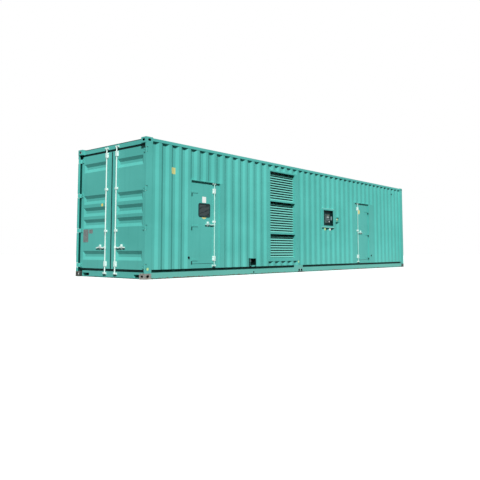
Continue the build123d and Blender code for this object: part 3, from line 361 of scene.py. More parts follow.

# Bottom side rails
# Folded channels between the castings. Stones chip their lower edge, and painted shade darkens the
# step under the wall and the top of the rail's face below it. The near one has a drain.
step_top = 0.1505
step_back = 1.1545
rail_shade_foot = 0.136
rail_shade_front = 1.213
rail_paint = Finish("rail_paint")
chip_noise = rail_paint.noise(22, 6, 0.65, stretch=(1, 1, 1.6))
rail_rust = rail_paint.noise(1.1, 3, stretch=(0.35, 1, 1))
rail_low = 1 - rail_paint.z.ease(0.016, 0.05)
rail_chips = (chip_noise + rail_rust * 0.35 + rail_low * 0.22).ease(0.86, 0.93)
rail_tone = rail_paint.mix(0.22, turquoise(rail_paint), (150, 200, 184))
rail_tone = rail_paint.mix(rail_chips * 0.85, rail_tone, (122, 96, 74))
# Painted shade on the step under the wall and on the top edge of the rail's face.
rail_step_shade = (rail_paint.z > step_top) * (abs(rail_paint.y) < step_back)
rail_face_shade = (rail_paint.z + chip_noise * 0.008 > rail_shade_foot) * (abs(rail_paint.y) < rail_shade_front)
rail_shade_tone = rail_paint.mix(chip_noise, (4, 44, 40), (12, 62, 56))
rail_shade_cover = (rail_step_shade + rail_face_shade).math("MINIMUM", 1.0)
spray(rail_paint, rail_paint.mix(rail_shade_cover, rail_tone, rail_shade_tone))
rail_paint.coat("bottom_side_rails")

black_rubber = Finish("black_rubber")
rubber_dust = black_rubber.noise(60, 4)
rubber_bloom = black_rubber.noise(6, 3)
rubber_tone = black_rubber.mix(rubber_bloom.ease(0.35, 0.7), (6, 16, 16), (14, 28, 27))
rubber_tone = black_rubber.mix(rubber_dust.ease(0.55, 0.8) * 0.25, rubber_tone, (40, 58, 54))
black_rubber.feed("Base Color", rubber_tone)
black_rubber.feed("Roughness", rubber_dust * 0.2 + 0.6)
black_rubber.feed("Specular IOR Level", 0.15)
black_rubber.bump(rubber_dust, 0.0006)

rail_face = -1.209
drain_ring = [(0, 0.0006), (0.014, 0.0006), (0.014, 0.003), (0.021, 0.003), (0.023, 0)]
drain = bmesh.new()
turned(drain, (-2.648, rail_face, 0.056), near_way, drain_ring)
piece("rail_drain", drain, black_rubber, "housing")

# Corner castings
# Cast steel blocks, painted at the top corners, with painted shade inside. The lower ones stand
# bare: grey mill scale, with rust in and round their holes, and painted shade in their hollows and
# on the back and far ones.
end_skin = 6.0925
side_skin = 1.2155
top_skin = 2.8925
hollow_top = 0.112
top_paint = Finish("top_casting_paint")
# Painted shade inside the hollows of the top castings.
top_hollow_shade = abs(top_paint.x).within(5.93, end_skin) * abs(top_paint.y).within(1.07, side_skin)
top_hollow_shade = top_hollow_shade * top_paint.z.within(2.79, top_skin)
top_hollow_shade_tone = top_paint.mix(top_paint.noise(30, 4), (4, 26, 26), (14, 44, 41))
spray(top_paint, top_paint.mix(top_hollow_shade, turquoise(top_paint), top_hollow_shade_tone))
top_paint.coat("top_castings")

hole_x = 6.007
hole_y = 1.138
bare_casting = Finish("bare_casting")
scale_noise = bare_casting.noise(26, 6, 0.6)
grit_noise = bare_casting.noise(180, 3)
rust_noise = bare_casting.noise(14, 5, 0.6, stretch=(1, 1, 0.6))
casting_end = abs(abs(bare_casting.x) - hole_x).ease(0.035, 0.085)
casting_side = abs(abs(bare_casting.y) - hole_y).ease(0.03, 0.08)
hole_rust = 1 - casting_end * casting_side
steel_tone = bare_casting.mix(scale_noise.ease(0.3, 0.7), (122, 126, 122), (164, 164, 158))
rust_tone = bare_casting.mix(grit_noise.ease(0.3, 0.7), (104, 88, 78), (146, 126, 110))
# Painted shade: darker towards the back and the far end, away from the sun.
casting_far_shade = (bare_casting.y * 0.35 + bare_casting.x * 0.09).ease(-0.75, 0.1)
steel_tone = bare_casting.mix(casting_far_shade * 0.9, steel_tone, (22, 46, 43))
rust_tone = bare_casting.mix(casting_far_shade * 0.9, rust_tone, (28, 42, 37))
rust_share = (rust_noise + hole_rust * 0.1).ease(0.52, 0.7)
casting_tone = bare_casting.mix(rust_share * 0.7, steel_tone, rust_tone)
# Painted shade inside the casting's hollows.
casting_hollow_shade = (abs(bare_casting.x) < end_skin) * (abs(bare_casting.y) < side_skin)
casting_hollow_shade = casting_hollow_shade * bare_casting.z.within(0.004, hollow_top)
casting_tone = bare_casting.mix(casting_hollow_shade * 0.65, casting_tone, (26, 32, 30))
bare_casting.feed("Base Color", casting_tone)
bare_casting.feed("Metallic", 0.2 - rust_share * 0.2)
bare_casting.feed("Roughness", rust_share * 0.3 + 0.5)
bare_casting.bump(scale_noise * 0.6 + grit_noise * 0.4, 0.0025)
bare_casting.coat("bottom_castings")

# Mid castings
# Painted with the rails, and scraped bare along their lower edge where a trailer
# or the ground has rubbed them. A pale plug lies flush between the holes of each.
mid_paint = Finish("mid_casting_paint")
mid_scrape = mid_paint.noise(30, 5, 0.6)
mid_bare = 1 - (mid_paint.z + mid_scrape * 0.02).ease(0.036, 0.044)
mid_grey = mid_paint.mix(mid_scrape.ease(0.35, 0.65), (24, 36, 34), (64, 74, 70))
mid_worn = mid_paint.mix(mid_scrape * 0.7, turquoise(mid_paint), (150, 168, 162))
mid_tone = mid_paint.mix(mid_bare, mid_worn, mid_grey)
# Painted shade inside the casting's holes.
mid_hollow_shade = (abs(mid_paint.y) < side_skin) * (mid_paint.z < hollow_top)
mid_tone = mid_paint.mix(mid_hollow_shade, mid_tone, (8, 30, 28))
plug_x = -0.63
plug_z = 0.078
plug_radius = 0.01265
plug_front = 1.2185
from_plug_x = mid_paint.x - plug_x
from_plug_z = mid_paint.z - plug_z
plug_share = from_plug_x * from_plug_x + from_plug_z * from_plug_z < plug_radius**2
plug_share = plug_share * (abs(mid_paint.y) > plug_front)
plug_tone = mid_paint.mix(mid_scrape, (206, 222, 216), (238, 244, 240))
spray(mid_paint, mid_paint.mix(plug_share, mid_tone, plug_tone))
mid_paint.coat("mid_castings")

# Floor
# Chequer plate with raised lozenges that turn by a quarter from one to the next,
# worn lighter where people walk. It lies on pressed channels in dark primer.
lozenge_pitch = 0.06
floor_steel = Finish("floor_steel")
tile_u = floor_steel.x / lozenge_pitch
tile_v = floor_steel.y / lozenge_pitch
turn = (tile_u.math("FLOOR") + tile_v.math("FLOOR")).math("PINGPONG", 1.0)
tile_u = tile_u.math("FRACT") - 0.5
tile_v = tile_v.math("FRACT") - 0.5
along = tile_u * turn + tile_v * (1 - turn)
across = tile_v * turn + tile_u * (1 - turn)
lozenge = 1 - (abs(along) * 0.42 + abs(across) * 1.9).ease(0.12, 0.17)
floor_wear = floor_steel.noise(1.6, 5, stretch=(0.6, 1, 1))
floor_tone = floor_steel.mix(floor_wear.ease(0.35, 0.7), (66, 70, 70), (104, 108, 106))
floor_steel.feed("Base Color", floor_steel.mix(lozenge * 0.35, floor_tone, (150, 152, 150)))
floor_steel.feed("Metallic", 0.5)
floor_steel.feed("Roughness", floor_wear * 0.25 + 0.35)
floor_steel.bump(lozenge, 0.0015)
floor_steel.coat("floor")

under_paint = Finish("under_paint")
under_dirt = under_paint.noise(40, 4)
under_tone = under_paint.mix(under_paint.noise(5, 5).ease(0.3, 0.7), (20, 26, 25), (38, 46, 44))
under_tone = under_paint.mix(under_dirt.ease(0.5, 0.8) * 0.4, under_tone, (70, 64, 54))
under_paint.feed("Base Color", under_tone)
under_paint.feed("Roughness", under_dirt * 0.2 + 0.6)
under_paint.bump(under_dirt, 0.002)
under_paint.coat("cross_members")


# Walls and roof
# Ribbed sheet, painted outside like the frame. Inside, the sound lining is faced
# with pale perforated sheet, held by strips at every metre.
def lined(finish, inside, outside, u, v):
    """Paint on the outside, and on the inside a facing whose small holes show dark."""
    hole_pitch = 0.02
    cell_u = (u / hole_pitch).math("FRACT") - 0.5
    cell_v = (v / hole_pitch).math("FRACT") - 0.5
    holes = 1 - (cell_u * cell_u + cell_v * cell_v).ease(0.03, 0.06)
    strip = abs(u.math("FRACT") - 0.5).ease(0.472, 0.478)
    mottle = finish.noise(3, 4)
    facing = finish.mix(mottle.ease(0.3, 0.7), (186, 190, 187), (205, 208, 204))
    facing = finish.mix(holes * (1 - strip) * 0.7, facing, (70, 74, 73))
    facing = finish.mix(strip * 0.4, facing, (160, 165, 163))
    spray(finish, finish.mix(inside, outside, facing))


side_lining = 1.1095
end_lining = 5.9935
roof_lining = 2.8145
wall_paint = Finish("wall_paint")
wall_inside = abs(wall_paint.y) < side_lining
lined(wall_paint, wall_inside, turquoise(wall_paint), wall_paint.x, wall_paint.z)
wall_paint.coat("near_wall_panels", "back_wall_panels", "side_door_frames", "stop_box")

end_paint = Finish("end_wall_paint")
lined(end_paint, end_paint.x < end_lining, turquoise(end_paint), end_paint.y, end_paint.z)
end_paint.coat("far_end_wall")

roof_paint = Finish("roof_paint")
roof_fade = roof_paint.noise(2.0, 5, stretch=(0.5, 0.5, 0.5))
roof_dirt = roof_paint.noise(3.0, 5, stretch=(0.6, 2.5, 1))
roof_trough = 1 - roof_paint.z.ease(2.858, 2.87)
roof_grime = (roof_trough * 0.5 + 0.2) * roof_dirt.ease(0.4, 0.7) * 0.6
roof_tone = roof_paint.mix(roof_fade.ease(0.3, 0.7), (84, 178, 167), (110, 194, 184))
roof_tone = roof_paint.mix(roof_grime, roof_tone, (120, 140, 128))
lined(roof_paint, roof_paint.z < roof_lining, roof_tone, roof_paint.x, roof_paint.y)
roof_paint.coat("roof")


# Marks on the walls
# A blank pale yellow sticker folded into a valley of the wall, two blank ones under
# the control recess, and a small black breather near the far end.
def plate(mesh, low, high, rounding, steps=5, axis=1):
    """A flat plate between two corners, with its outline rounded about Y or another axis."""
    low, high = Vector(low), Vector(high)
    size = Matrix.Diagonal((*(high - low), 1))
    block = bmesh.ops.create_cube(mesh, size=1, matrix=Matrix.Translation((low + high) / 2) @ size)
    edges = {edge for vert in block["verts"] for edge in vert.link_edges}
    upright = [edge for edge in edges if abs((edge.verts[0].co - edge.verts[1].co)[axis]) > 0.00001]
    rounded(mesh, upright, rounding, steps)


def raised_verts(geom):
    """The new points of an extrusion."""
    return [part for part in geom if isinstance(part, bmesh.types.BMVert)]


sticker_pale = mottled(
    "sticker_pale", 60, (214, 208, 126), (232, 228, 156), rough=0.4, relief=0.0002
)
pale_label = mottled(
    "pale_label",
    120,
    (252, 253, 252),
    (232, 236, 232),
    rough=0.35,
    relief=0.0002,
    steps=(0.3, 0.8),
    spread=0.25,
)

rib_pitch = 0.278
rib_start = -5.838
rib_depth = 0.036
valley = rib_start + 2 * rib_pitch
valley_half = 0.035
valley_face = wall_face + rib_depth
fold = [
    (valley - 0.103, wall_face),
    (valley - valley_half, valley_face),
    (valley + valley_half, valley_face),
]
wall_sticker = bmesh.new()
line = [wall_sticker.verts.new((x, y - sticker_thick, 2.21)) for x, y in fold]
folds = [wall_sticker.edges.new(pair) for pair in zip(line, line[1:])]
raised = bmesh.ops.extrude_edge_only(wall_sticker, edges=folds)["geom"]
bmesh.ops.translate(wall_sticker, vec=(0, 0, 0.14), verts=raised_verts(raised))
bmesh.ops.solidify(wall_sticker, geom=wall_sticker.faces, thickness=0.0005)
piece("wall_sticker", wall_sticker, sticker_pale, "housing")

for name, crest, foot, finish, slot in (
    ("control_sticker_lime", 23.5, 1.186, sticker_lime, "stop_yellow"),
    ("control_sticker_white", 24.5, 1.192, pale_label, "instrument_grey"),
):
    crest_x = rib_start + crest * rib_pitch
    sticker = bmesh.new()
    low = (crest_x - 0.034, wall_face - sticker_thick, foot)
    plate(sticker, low, (crest_x + 0.034, wall_face, 1.252), 0.008)
    piece(name, sticker, finish, "housing")

breather_cap = [(0.026, 0), (0.026, 0.006), (0.02, 0.016), (0.012, 0.02), (0, 0.02)]
breather = bmesh.new()
turned(breather, (rib_start + 40 * rib_pitch, valley_face, 2.63), near_way, breather_cap)
piece("wall_breather", breather, black_rubber, "housing")

# Louvre banks
# Welded frames with fixed blades, in the housing's paint, each held to the wall by a row of small
# bolts up both sides. The blades are paler with painted sky reflection, and painted shade blacks
# their inward faces.
blade_front = 1.1455
louvre_paint = Finish("louvre_paint")
louvre_back_shade_tone = louvre_paint.mix(louvre_paint.noise(30, 4), (5, 12, 12), (14, 24, 23))
louvre_blade_sheen = abs(louvre_paint.y) < blade_front
# Painted reflection: the blades are lighter and paler.
louvre_sheen_coat = louvre_paint.mix(louvre_blade_sheen * 0.35, turquoise(louvre_paint), (140, 196, 184))
# Painted shade on the faces that look inward.
louvre_inward_shade = louvre_paint.parts(louvre_paint.normal)[1] * louvre_paint.y < -0.1
spray(louvre_paint, louvre_paint.mix(louvre_inward_shade, louvre_sheen_coat, louvre_back_shade_tone))
louvre_paint.coat("near_louvre_bank", "back_louvre_bank")

bank_low, bank_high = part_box("near_louvre_bank")
row_count = 9
row_end = 0.06
row_step = (bank_high.z - bank_low.z - 2 * row_end) / (row_count - 1)
louvre_bolts = bmesh.new()
for number in range(row_count):
    bolt_z = bank_low.z + row_end + number * row_step
    for bolt_x in (bank_low.x + 0.03, bank_high.x - 0.05):
        for side in (-1, 1):
            bolt(louvre_bolts, (bolt_x, side * -bank_low.y, bolt_z), (0, side, 0), 0.013, 0.005)
piece("louvre_bolts", louvre_bolts, housing_paint, "housing")

# Side door hinges and buffers
# The straps are painted with the leaves, with painted shade on their undersides, and the lower
# knuckles are painted dark as shade. The buffers are black rubber, each held by one screw.
hinge_paint = Finish("hinge_paint")
hinge_underside_shade = hinge_paint.mix(hinge_paint.noise(40, 4), (4, 36, 34), (16, 60, 56))
# Painted shade on faces that look down.
hinge_shaded_tone = hinge_paint.mix(hinge_paint.underside(0.5, 0.8), turquoise(hinge_paint), hinge_underside_shade)
spray(hinge_paint, hinge_shaded_tone)

# The lower knuckles are painted dark as shade.
knuckle_shade_paint = mottled(
    "knuckle_shade_paint", 60, (8, 48, 45), (26, 82, 76), rough=0.4, relief=0.0006, steps=(0.35, 0.65)
)
knuckle_shade_paint.feed("Specular IOR Level", 0.15)
knuckle_shade_paint.coat("side_hinge_brackets")
black_rubber.coat("door_stops")

stop_low, stop_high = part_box("door_stops")
stop_screws = bmesh.new()
for stop_x in (stop_low.x + 0.026, stop_high.x - 0.026):
    spot = (stop_x, stop_low.y + 0.0008, (stop_low.z + stop_high.z) / 2)
    bolt(stop_screws, spot, near_way, 0.01, 0.003)
piece("door_stop_screws", stop_screws, black_rubber, "housing")

# Control recess
# A welded box with a broad rim, its inside darkened with painted shade and the edges of its rim
# lightened with painted highlight. A black rubber strip under the rim throws rain clear of the
# stickers.
recess_x = 0.89
recess_z = 1.5575
recess_front = 1.2055
recess_paint = Finish("recess_paint")
recess_low, recess_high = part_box("control_recess")
rim_noise = recess_paint.noise(25, 4)
# Painted highlight along the upper and lower edges of the rim.
rim_top = recess_paint.z.ease(recess_high.z - 0.026, recess_high.z - 0.004)
rim_foot = 1 - recess_paint.z.ease(recess_low.z + 0.012, recess_low.z + 0.034)
rim_highlight = (rim_top + rim_foot).math("MINIMUM", 1.0) * (rim_noise * 0.5 + 0.55)
recess_highlit_coat = recess_paint.mix(rim_highlight, turquoise(recess_paint), (150, 226, 216))
# Painted shade inside the recess.
recess_hollow_shade = (abs(recess_paint.x - recess_x) < 0.268) * (abs(recess_paint.z - recess_z) < 0.236)
recess_hollow_shade = recess_hollow_shade * (abs(recess_paint.y) < recess_front)
recess_shade_tone = recess_paint.mix(rim_noise, (6, 34, 34), (18, 48, 46))
spray(recess_paint, recess_paint.mix(recess_hollow_shade, recess_highlit_coat, recess_shade_tone))
recess_paint.coat("control_recess")

drip = bmesh.new()
drip_low = (recess_low.x, recess_low.y, recess_low.z - 0.014)
plate(drip, drip_low, (recess_high.x, recess_low.y + 0.004, recess_low.z), 0.003, 3)
piece("control_drip_strip", drip, black_rubber, "housing")

# Control panel
# A dark powder-coated panel with a raised controller. Its display, keys, lamps
# and switch are plastic, its label strips are blank and its latch is steel.
bezel_back = 1.158
panel_black = Finish("panel_black")
panel_dust = panel_black.noise(12, 4)
panel_tone = panel_black.mix(panel_dust.ease(0.4, 0.75), (8, 36, 36), (24, 54, 52))
bezel_tone = panel_black.mix(panel_dust.ease(0.35, 0.65), (56, 74, 73), (86, 104, 101))
panel_tone = panel_black.mix(abs(panel_black.y) > bezel_back, panel_tone, bezel_tone)
panel_black.feed("Base Color", panel_tone)
panel_black.feed("Roughness", panel_dust * 0.2 + 0.45)
panel_black.feed("Specular IOR Level", 0.06)
panel_black.bump(panel_black.noise(700, 2), 0.0004)
panel_black.coat("control_panel")

instrument_grey = Finish("instrument_grey")
handling = instrument_grey.noise(30, 4)
grey_tone = instrument_grey.mix(handling.ease(0.3, 0.7), (108, 132, 136), (144, 170, 174))
instrument_grey.feed("Base Color", grey_tone)
instrument_grey.feed("Roughness", handling * 0.25 + 0.3)
instrument_grey.bump(instrument_grey.noise(260, 2), 0.0003)
instrument_grey.coat("control_instruments", "filler_cap")

panel_y = -1.155
bezel_y = -1.165
key_y = -1.169
knob_y = -1.179
panel_screws = bmesh.new()
for screw_x in (0.652, 1.128):
    for screw_z in (1.352, recess_z, 1.763):
        bolt(panel_screws, (screw_x, panel_y, screw_z), near_way, 0.009, 0.003)
for screw_x in (0.758, 1.017):
    for screw_z in (1.426, 1.666):
        bolt(panel_screws, (screw_x, bezel_y, screw_z), near_way, 0.006, 0.002)
piece("panel_screws", panel_screws, black_rubber, "housing")

display_glass = Finish("display_glass")
display_haze = display_glass.noise(40, 4)
line_pitch = 0.007
display_line = ((display_glass.z / line_pitch).math("FRACT") > 0.55) * (display_haze > 0.48)
display_tone = display_glass.mix(display_haze, (150, 172, 168), (186, 204, 200))
display_tone = display_glass.mix(display_line * 0.4, display_tone, (84, 104, 102))
display_glass.feed("Base Color", display_tone)
display_glass.feed("Roughness", display_haze * 0.1 + 0.12)
display_glass.bump(display_haze, 0.0001)
display = bmesh.new()
plate(display, (0.8585, key_y - 0.0012, 1.5685), (0.9675, key_y, 1.6015), 0.003)
piece("display_window", display, display_glass, "housing")

key_rubber = mottled(
    "key_rubber", 120, (74, 84, 90), (112, 124, 130), rough=0.5, relief=0.0004, steps=(0.3, 0.7)
)
key_caps = bmesh.new()
for number in range(5):
    key_x = 0.825 + 0.044 * number
    low = (key_x - 0.0105, key_y - 0.002, 1.5095)
    plate(key_caps, low, (key_x + 0.0105, key_y, 1.5305), 0.004, 3)
piece("key_caps", key_caps, key_rubber, "housing")

lamp_x = (0.865, 0.913, 0.961)
lamp_lens = Finish("lamp_lens")
lens_ripple = lamp_lens.noise(400, 2)
past_first = lamp_lens.x > (lamp_x[0] + lamp_x[1]) / 2
past_second = lamp_lens.x > (lamp_x[1] + lamp_x[2]) / 2
lens_tone = lamp_lens.mix(past_first, (140, 96, 84), (96, 132, 108))
lens_tone = lamp_lens.mix(past_second, lens_tone, (176, 160, 112))
lamp_lens.feed("Base Color", lamp_lens.mix(lens_ripple * 0.3, lens_tone, (230, 226, 206)))
lamp_lens.feed("Roughness", lens_ripple * 0.1 + 0.1)
lamp_lens.bump(lens_ripple, 0.0003)
lamp_ring = [(0.0085, 0), (0.0085, 0.0025)]
lamp_dome = [(0.0065, 0.003), (0.006, 0.0055), (0.004, 0.0075), (0, 0.0082)]
lamps = bmesh.new()
for spot_x in lamp_x:
    turned(lamps, (spot_x, bezel_y, 1.638), near_way, lamp_ring + lamp_dome, 20)
piece("panel_lamps", lamps, lamp_lens, "housing")

label_strips = bmesh.new()
for low_x, high_x, low_z, high_z in (
    (0.86, 0.966, 1.617, 1.624),
    (0.815, 1.011, 1.49, 1.498),
    (0.94, 1.002, 1.424, 1.431),
):
    low = (low_x, bezel_y - sticker_thick, low_z)
    plate(label_strips, low, (high_x, bezel_y, high_z), 0.002, 3)
piece("label_strips", label_strips, key_rubber, "housing")

knob = bmesh.new()
knob_dome = [(0.013, 0), (0.012, 0.004), (0.0105, 0.005), (0, 0.005)]
turned(knob, (0.971, knob_y, 1.453), near_way, knob_dome, 20)
plate(knob, (0.9685, knob_y - 0.012, 1.441), (0.9735, knob_y - 0.004, 1.465), 0.002, 3)
piece("switch_knob", knob, pale_label, "housing")

latch = bmesh.new()
latch_front = knob_y - 0.004
plate(latch, (1.096, latch_front, 1.518), (1.12, knob_y, 1.6), 0.006)
bolt(latch, (1.108, latch_front, 1.583), near_way, 0.009, 0.003)
piece("latch_paddle", latch, instrument_grey, "housing")

# Emergency stop
# A pale plastic unit with a mushroom button, both bleached by the sun. A collar
# guards the button, and four screws hold the unit in its box.
stop_yellow = mottled("stop_yellow", 18, (176, 216, 172), (204, 236, 194), rough=0.3, relief=0.0003)
stop_yellow.coat("stop_unit")
stop_red = mottled("stop_red", 25, (152, 176, 138), (178, 200, 160), rough=0.25, relief=0.0003)
stop_red.coat("stop_button")

unit_low, unit_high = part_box("stop_unit")
unit_x = (unit_low.x + unit_high.x) / 2
unit_z = (unit_low.z + unit_high.z) / 2
collar_bore = 0.0215
collar_profile = [
    (collar_bore, 0),
    (collar_bore, 0.006),
    (0.023, 0.0075),
    (0.0265, 0.0075),
    (0.03, 0.0045),
    (0.031, 0),
    (collar_bore, 0),
]
collar = bmesh.new()
turned(collar, (unit_x, unit_low.y, unit_z), near_way, collar_profile, 32)
piece("stop_collar", collar, stop_yellow, "housing")
unit_screws = bmesh.new()
for screw_x in (unit_low.x + 0.009, unit_high.x - 0.009):
    for screw_z in (unit_low.z + 0.009, unit_high.z - 0.009):
        bolt(unit_screws, (screw_x, unit_low.y, screw_z), near_way, 0.007, 0.0025)
piece("stop_unit_screws", unit_screws, zinc, "housing")

# Filler
# The fuel filler's neck comes through a bolted flange in a small recess, and its screwed cap has a
# bar to turn it by. Painted shade blackens the recess.
filler_front = 1.2015
filler_paint = Finish("filler_paint")
filler_shade_noise = filler_paint.noise(18, 4, stretch=(1, 1, 0.6))
filler_shade_tone = filler_paint.mix(filler_shade_noise, (4, 22, 21), (16, 38, 35))
# Painted shade inside the recess.
filler_inside_shade = abs(filler_paint.y) < filler_front
spray(filler_paint, filler_paint.mix(filler_inside_shade, turquoise(filler_paint), filler_shade_tone))
filler_paint.coat("filler_recess")

cap_low, cap_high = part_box("filler_cap")
cap_x = (cap_low.x + cap_high.x) / 2
cap_z = (cap_low.z + cap_high.z) / 2
flange_bore = 0.0325
flange_face = 0.005
flange_profile = [
    (flange_bore, 0),
    (flange_bore, flange_face),
    (0.047, flange_face),
    (0.049, 0.003),
    (0.049, 0),
    (flange_bore, 0),
]
flange = bmesh.new()
turned(flange, (cap_x, cap_high.y, cap_z), near_way, flange_profile, 32)
bolt_circle = 0.0408
for number in range(6):
    swing = math.tau * number / 6
    bolt_x = cap_x + bolt_circle * math.cos(swing)
    bolt_z = cap_z + bolt_circle * math.sin(swing)
    bolt(flange, (bolt_x, cap_high.y - flange_face, bolt_z), near_way, 0.006, 0.003)
piece("filler_flange", flange, black_rubber, "housing")
grip = bmesh.new()
grip_low = (cap_x - 0.026, cap_low.y - 0.01, cap_z - 0.0055)
plate(grip, grip_low, (cap_x + 0.026, cap_low.y, cap_z + 0.0055), 0.005)
piece("filler_cap_grip", grip, instrument_grey, "housing")

# Cargo doors
# Pressed leaves with black seals all round, and rubber lips in the seam between
# them. Each hangs on four bolted straps. The left one has blank plates and a disc.
housing_paint.coat("cargo_door_left", "cargo_door_right")

seal_rubber = mottled(
    "seal_rubber", 24, (6, 28, 27), (16, 54, 51), rough=0.6, relief=0.0006, steps=(0.35, 0.75)
)
seal_rubber.feed("Specular IOR Level", 0.1)
seal_rubber.coat("cargo_seal_left", "cargo_seal_right")

door_way = (-1, 0, 0)
leaf_x = -6.026
strap_x = -6.036
for side, body in ((1, "cargo_door_left"), (-1, "cargo_door_right")):
    strap_bolts = bmesh.new()
    for strap_z in (0.255, 1.04, 1.838, 2.635):
        for bolt_y, up in ((1.09, 0.024), (1.09, -0.024), (1.13, 0)):
            bolt(strap_bolts, (strap_x, side * bolt_y, strap_z + up), door_way, 0.018, 0.007)
    piece(body + "_bolts", strap_bolts, housing_paint, body)
    lip = bmesh.new()
    lip_low, lip_high = sorted((side * 0.0025, side * 0.017))
    plate(lip, (leaf_x - 0.0025, lip_low, 0.2), (leaf_x, lip_high, 2.725), 0.001, 2, axis=2)
    piece(body + "_lip", lip, seal_rubber, body)

plate_grey = Finish("plate_grey")
plate_wear = plate_grey.noise(46, 5, 0.6)
plate_tone = plate_grey.mix(plate_wear.ease(0.35, 0.65), (84, 92, 92), (130, 136, 134))
plate_grey.feed("Base Color", plate_tone)
plate_grey.feed("Metallic", 0.2)
plate_grey.feed("Roughness", plate_wear * 0.2 + 0.4)
plate_grey.bump(plate_wear, 0.0003)
rivet = [(0.0035, 0), (0.0033, 0.001), (0.002, 0.0018), (0, 0.002)]
placard_x = leaf_x - 0.002
placards = bmesh.new()
placard_rivets = bmesh.new()
for low_y, high_y, low_z, high_z, corner in (
    (0.85, 1.045, 0.77, 1.06, 0.008),
    (0.68, 0.825, 0.965, 1.055, 0.006),
):
    plate(placards, (placard_x, low_y, low_z), (leaf_x, high_y, high_z), corner, axis=0)
    for rivet_y in (low_y + 0.009, high_y - 0.009):
        for rivet_z in (low_z + 0.009, high_z - 0.009):
            turned(placard_rivets, (placard_x, rivet_y, rivet_z), door_way, rivet, 10)
piece("cargo_placards", placards, plate_grey, "cargo_door_left")
piece("cargo_placard_rivets", placard_rivets, zinc, "cargo_door_left")

sticker_yellow = mottled(
    "sticker_yellow", 60, (228, 200, 70), (244, 226, 116), rough=0.4, relief=0.0002
)
leaf_disc = bmesh.new()
disc(leaf_disc, (leaf_x, 0.345, 1.585), door_way, 0.034, sticker_thick)
piece("cargo_door_disc", leaf_disc, sticker_yellow, "cargo_door_left")

# Lock gear
# Zinc-plated bars in bolted guides, bright on the cargo doors and duller on the side
# doors, with forged cams at both ends. A flat handle on a hub turns each one, and
# lies in a catch when it is shut.
zinc.coat("hinge_pins", "cam_keepers", "cargo_guides_left", "cargo_guides_right")
zinc.coat("cargo_lock_left", "cargo_lock_right", "side_guides_1", "side_guides_2")

dull_zinc = Finish("dull_zinc")
dull_stain = dull_zinc.noise(9, 5, 0.6, stretch=(1, 1, 0.4))
dull_tone = dull_zinc.mix(dull_stain.ease(0.35, 0.7), (158, 212, 203), (186, 226, 218))
# Painted shade on faces that look down.
dull_tone = dull_zinc.mix(dull_zinc.underside(0.3, 0.7) * 0.85, dull_tone, (34, 66, 62))
dull_zinc.feed("Base Color", dull_tone)
dull_zinc.feed("Metallic", 0.15)
dull_zinc.feed("Roughness", dull_stain * 0.2 + 0.35)
dull_zinc.bump(dull_zinc.noise(150, 3), 0.0006)
dull_zinc.coat("side_lock_1", "side_lock_2")


def guide_rows(low_z, high_z):
    """Heights of the bolts in a rod guide: two in a tall one and one in a short one."""
    if high_z - low_z > 0.1:
        return low_z + 0.025, high_z - 0.025
    return ((low_z + high_z) / 2,)


foot_x = -6.032
rod_y = 0.178
foot_reach = 0.031
for side, name in ((1, "left"), (-1, "right")):
    gear_bolts = bmesh.new()
    for guide in ((0.24, 0.35), (0.98, 1.03), (1.89, 1.94), (2.61, 2.72)):
        for foot_y in (rod_y - foot_reach, rod_y + foot_reach):
            for bolt_z in guide_rows(*guide):
                bolt(gear_bolts, (foot_x, side * foot_y, bolt_z), door_way, 0.013, 0.006)
    for catch_z in (0.6155, 0.7005):
        bolt(gear_bolts, (foot_x + 0.001, side * 0.378, catch_z), door_way, 0.011, 0.005)
    piece(f"cargo_gear_bolts_{name}", gear_bolts, zinc, f"cargo_door_{name}")
    hub_bolt = bmesh.new()
    bolt(hub_bolt, (-6.067, side * rod_y, 0.65), door_way, 0.014, 0.003)
    piece(f"cargo_hub_bolt_{name}", hub_bolt, zinc, f"cargo_lock_{name}")

# Side doors
# Flat leaves in the housing's paint on lift-off hinges. Door 1 has a dark pane in
# a grey rubber frame. Both carry stickers, which are blank.
# The leaves take the hinge paint, with its painted shade on faces that look down.
hinge_paint.coat("side_door_1", "side_door_2")

side_face = -1.169
side_foot = -1.175
for number, pin_x, along, rod_x, catch_x in (
    (1, -4.764, 1, -4.052, -4.252),
    (2, 3.419, -1, 2.707, 2.907),
):
    body = f"side_door_{number}"
    strap_bolts = bmesh.new()
    for bolt_z in (0.375, 1.128, 1.878):
        for reach in (0.06, 0.12, 0.18):
            bolt(strap_bolts, (pin_x + along * reach, side_foot, bolt_z), near_way, 0.012, 0.0045)
    piece(f"{body}_strap_bolts", strap_bolts, housing_paint, body)
    gear_bolts = bmesh.new()
    for guide in ((0.349, 0.459), (1.215, 1.265), (1.89, 2.0)):
        for bolt_x in (rod_x - foot_reach, rod_x + foot_reach):
            for bolt_z in guide_rows(*guide):
                bolt(gear_bolts, (bolt_x, side_foot, bolt_z), near_way, 0.013, 0.006)
    for catch_z in (1.1405, 1.2255):
        bolt(gear_bolts, (catch_x, side_foot + 0.001, catch_z), near_way, 0.011, 0.005)
    piece(f"side_gear_bolts_{number}", gear_bolts, zinc, body)
    hub_bolt = bmesh.new()
    bolt(hub_bolt, (rod_x, -1.2112, 1.1745), near_way, 0.014, 0.003)
    piece(f"side_hub_bolt_{number}", hub_bolt, zinc, f"side_lock_{number}")

dark_glass = Finish("dark_glass")
smear = dark_glass.noise(6, 4, stretch=(1, 1, 3))
glass_streak = ((dark_glass.z - dark_glass.x * 0.32) / 0.11 + smear * 1.2).math("FRACT")
streaks = 1 - abs(glass_streak - 0.5).ease(0.06, 0.22)
glass_tone = dark_glass.mix(smear, (52, 64, 66), (70, 82, 84))
dark_glass.feed("Base Color", dark_glass.mix(streaks * 0.85, glass_tone, (24, 40, 42)))
dark_glass.feed("Roughness", smear * 0.1 + 0.12)
dark_glass.feed("Specular IOR Level", 0.15)
dark_glass.bump(smear, 0.0003)
dark_glass.coat("side_door_glass")


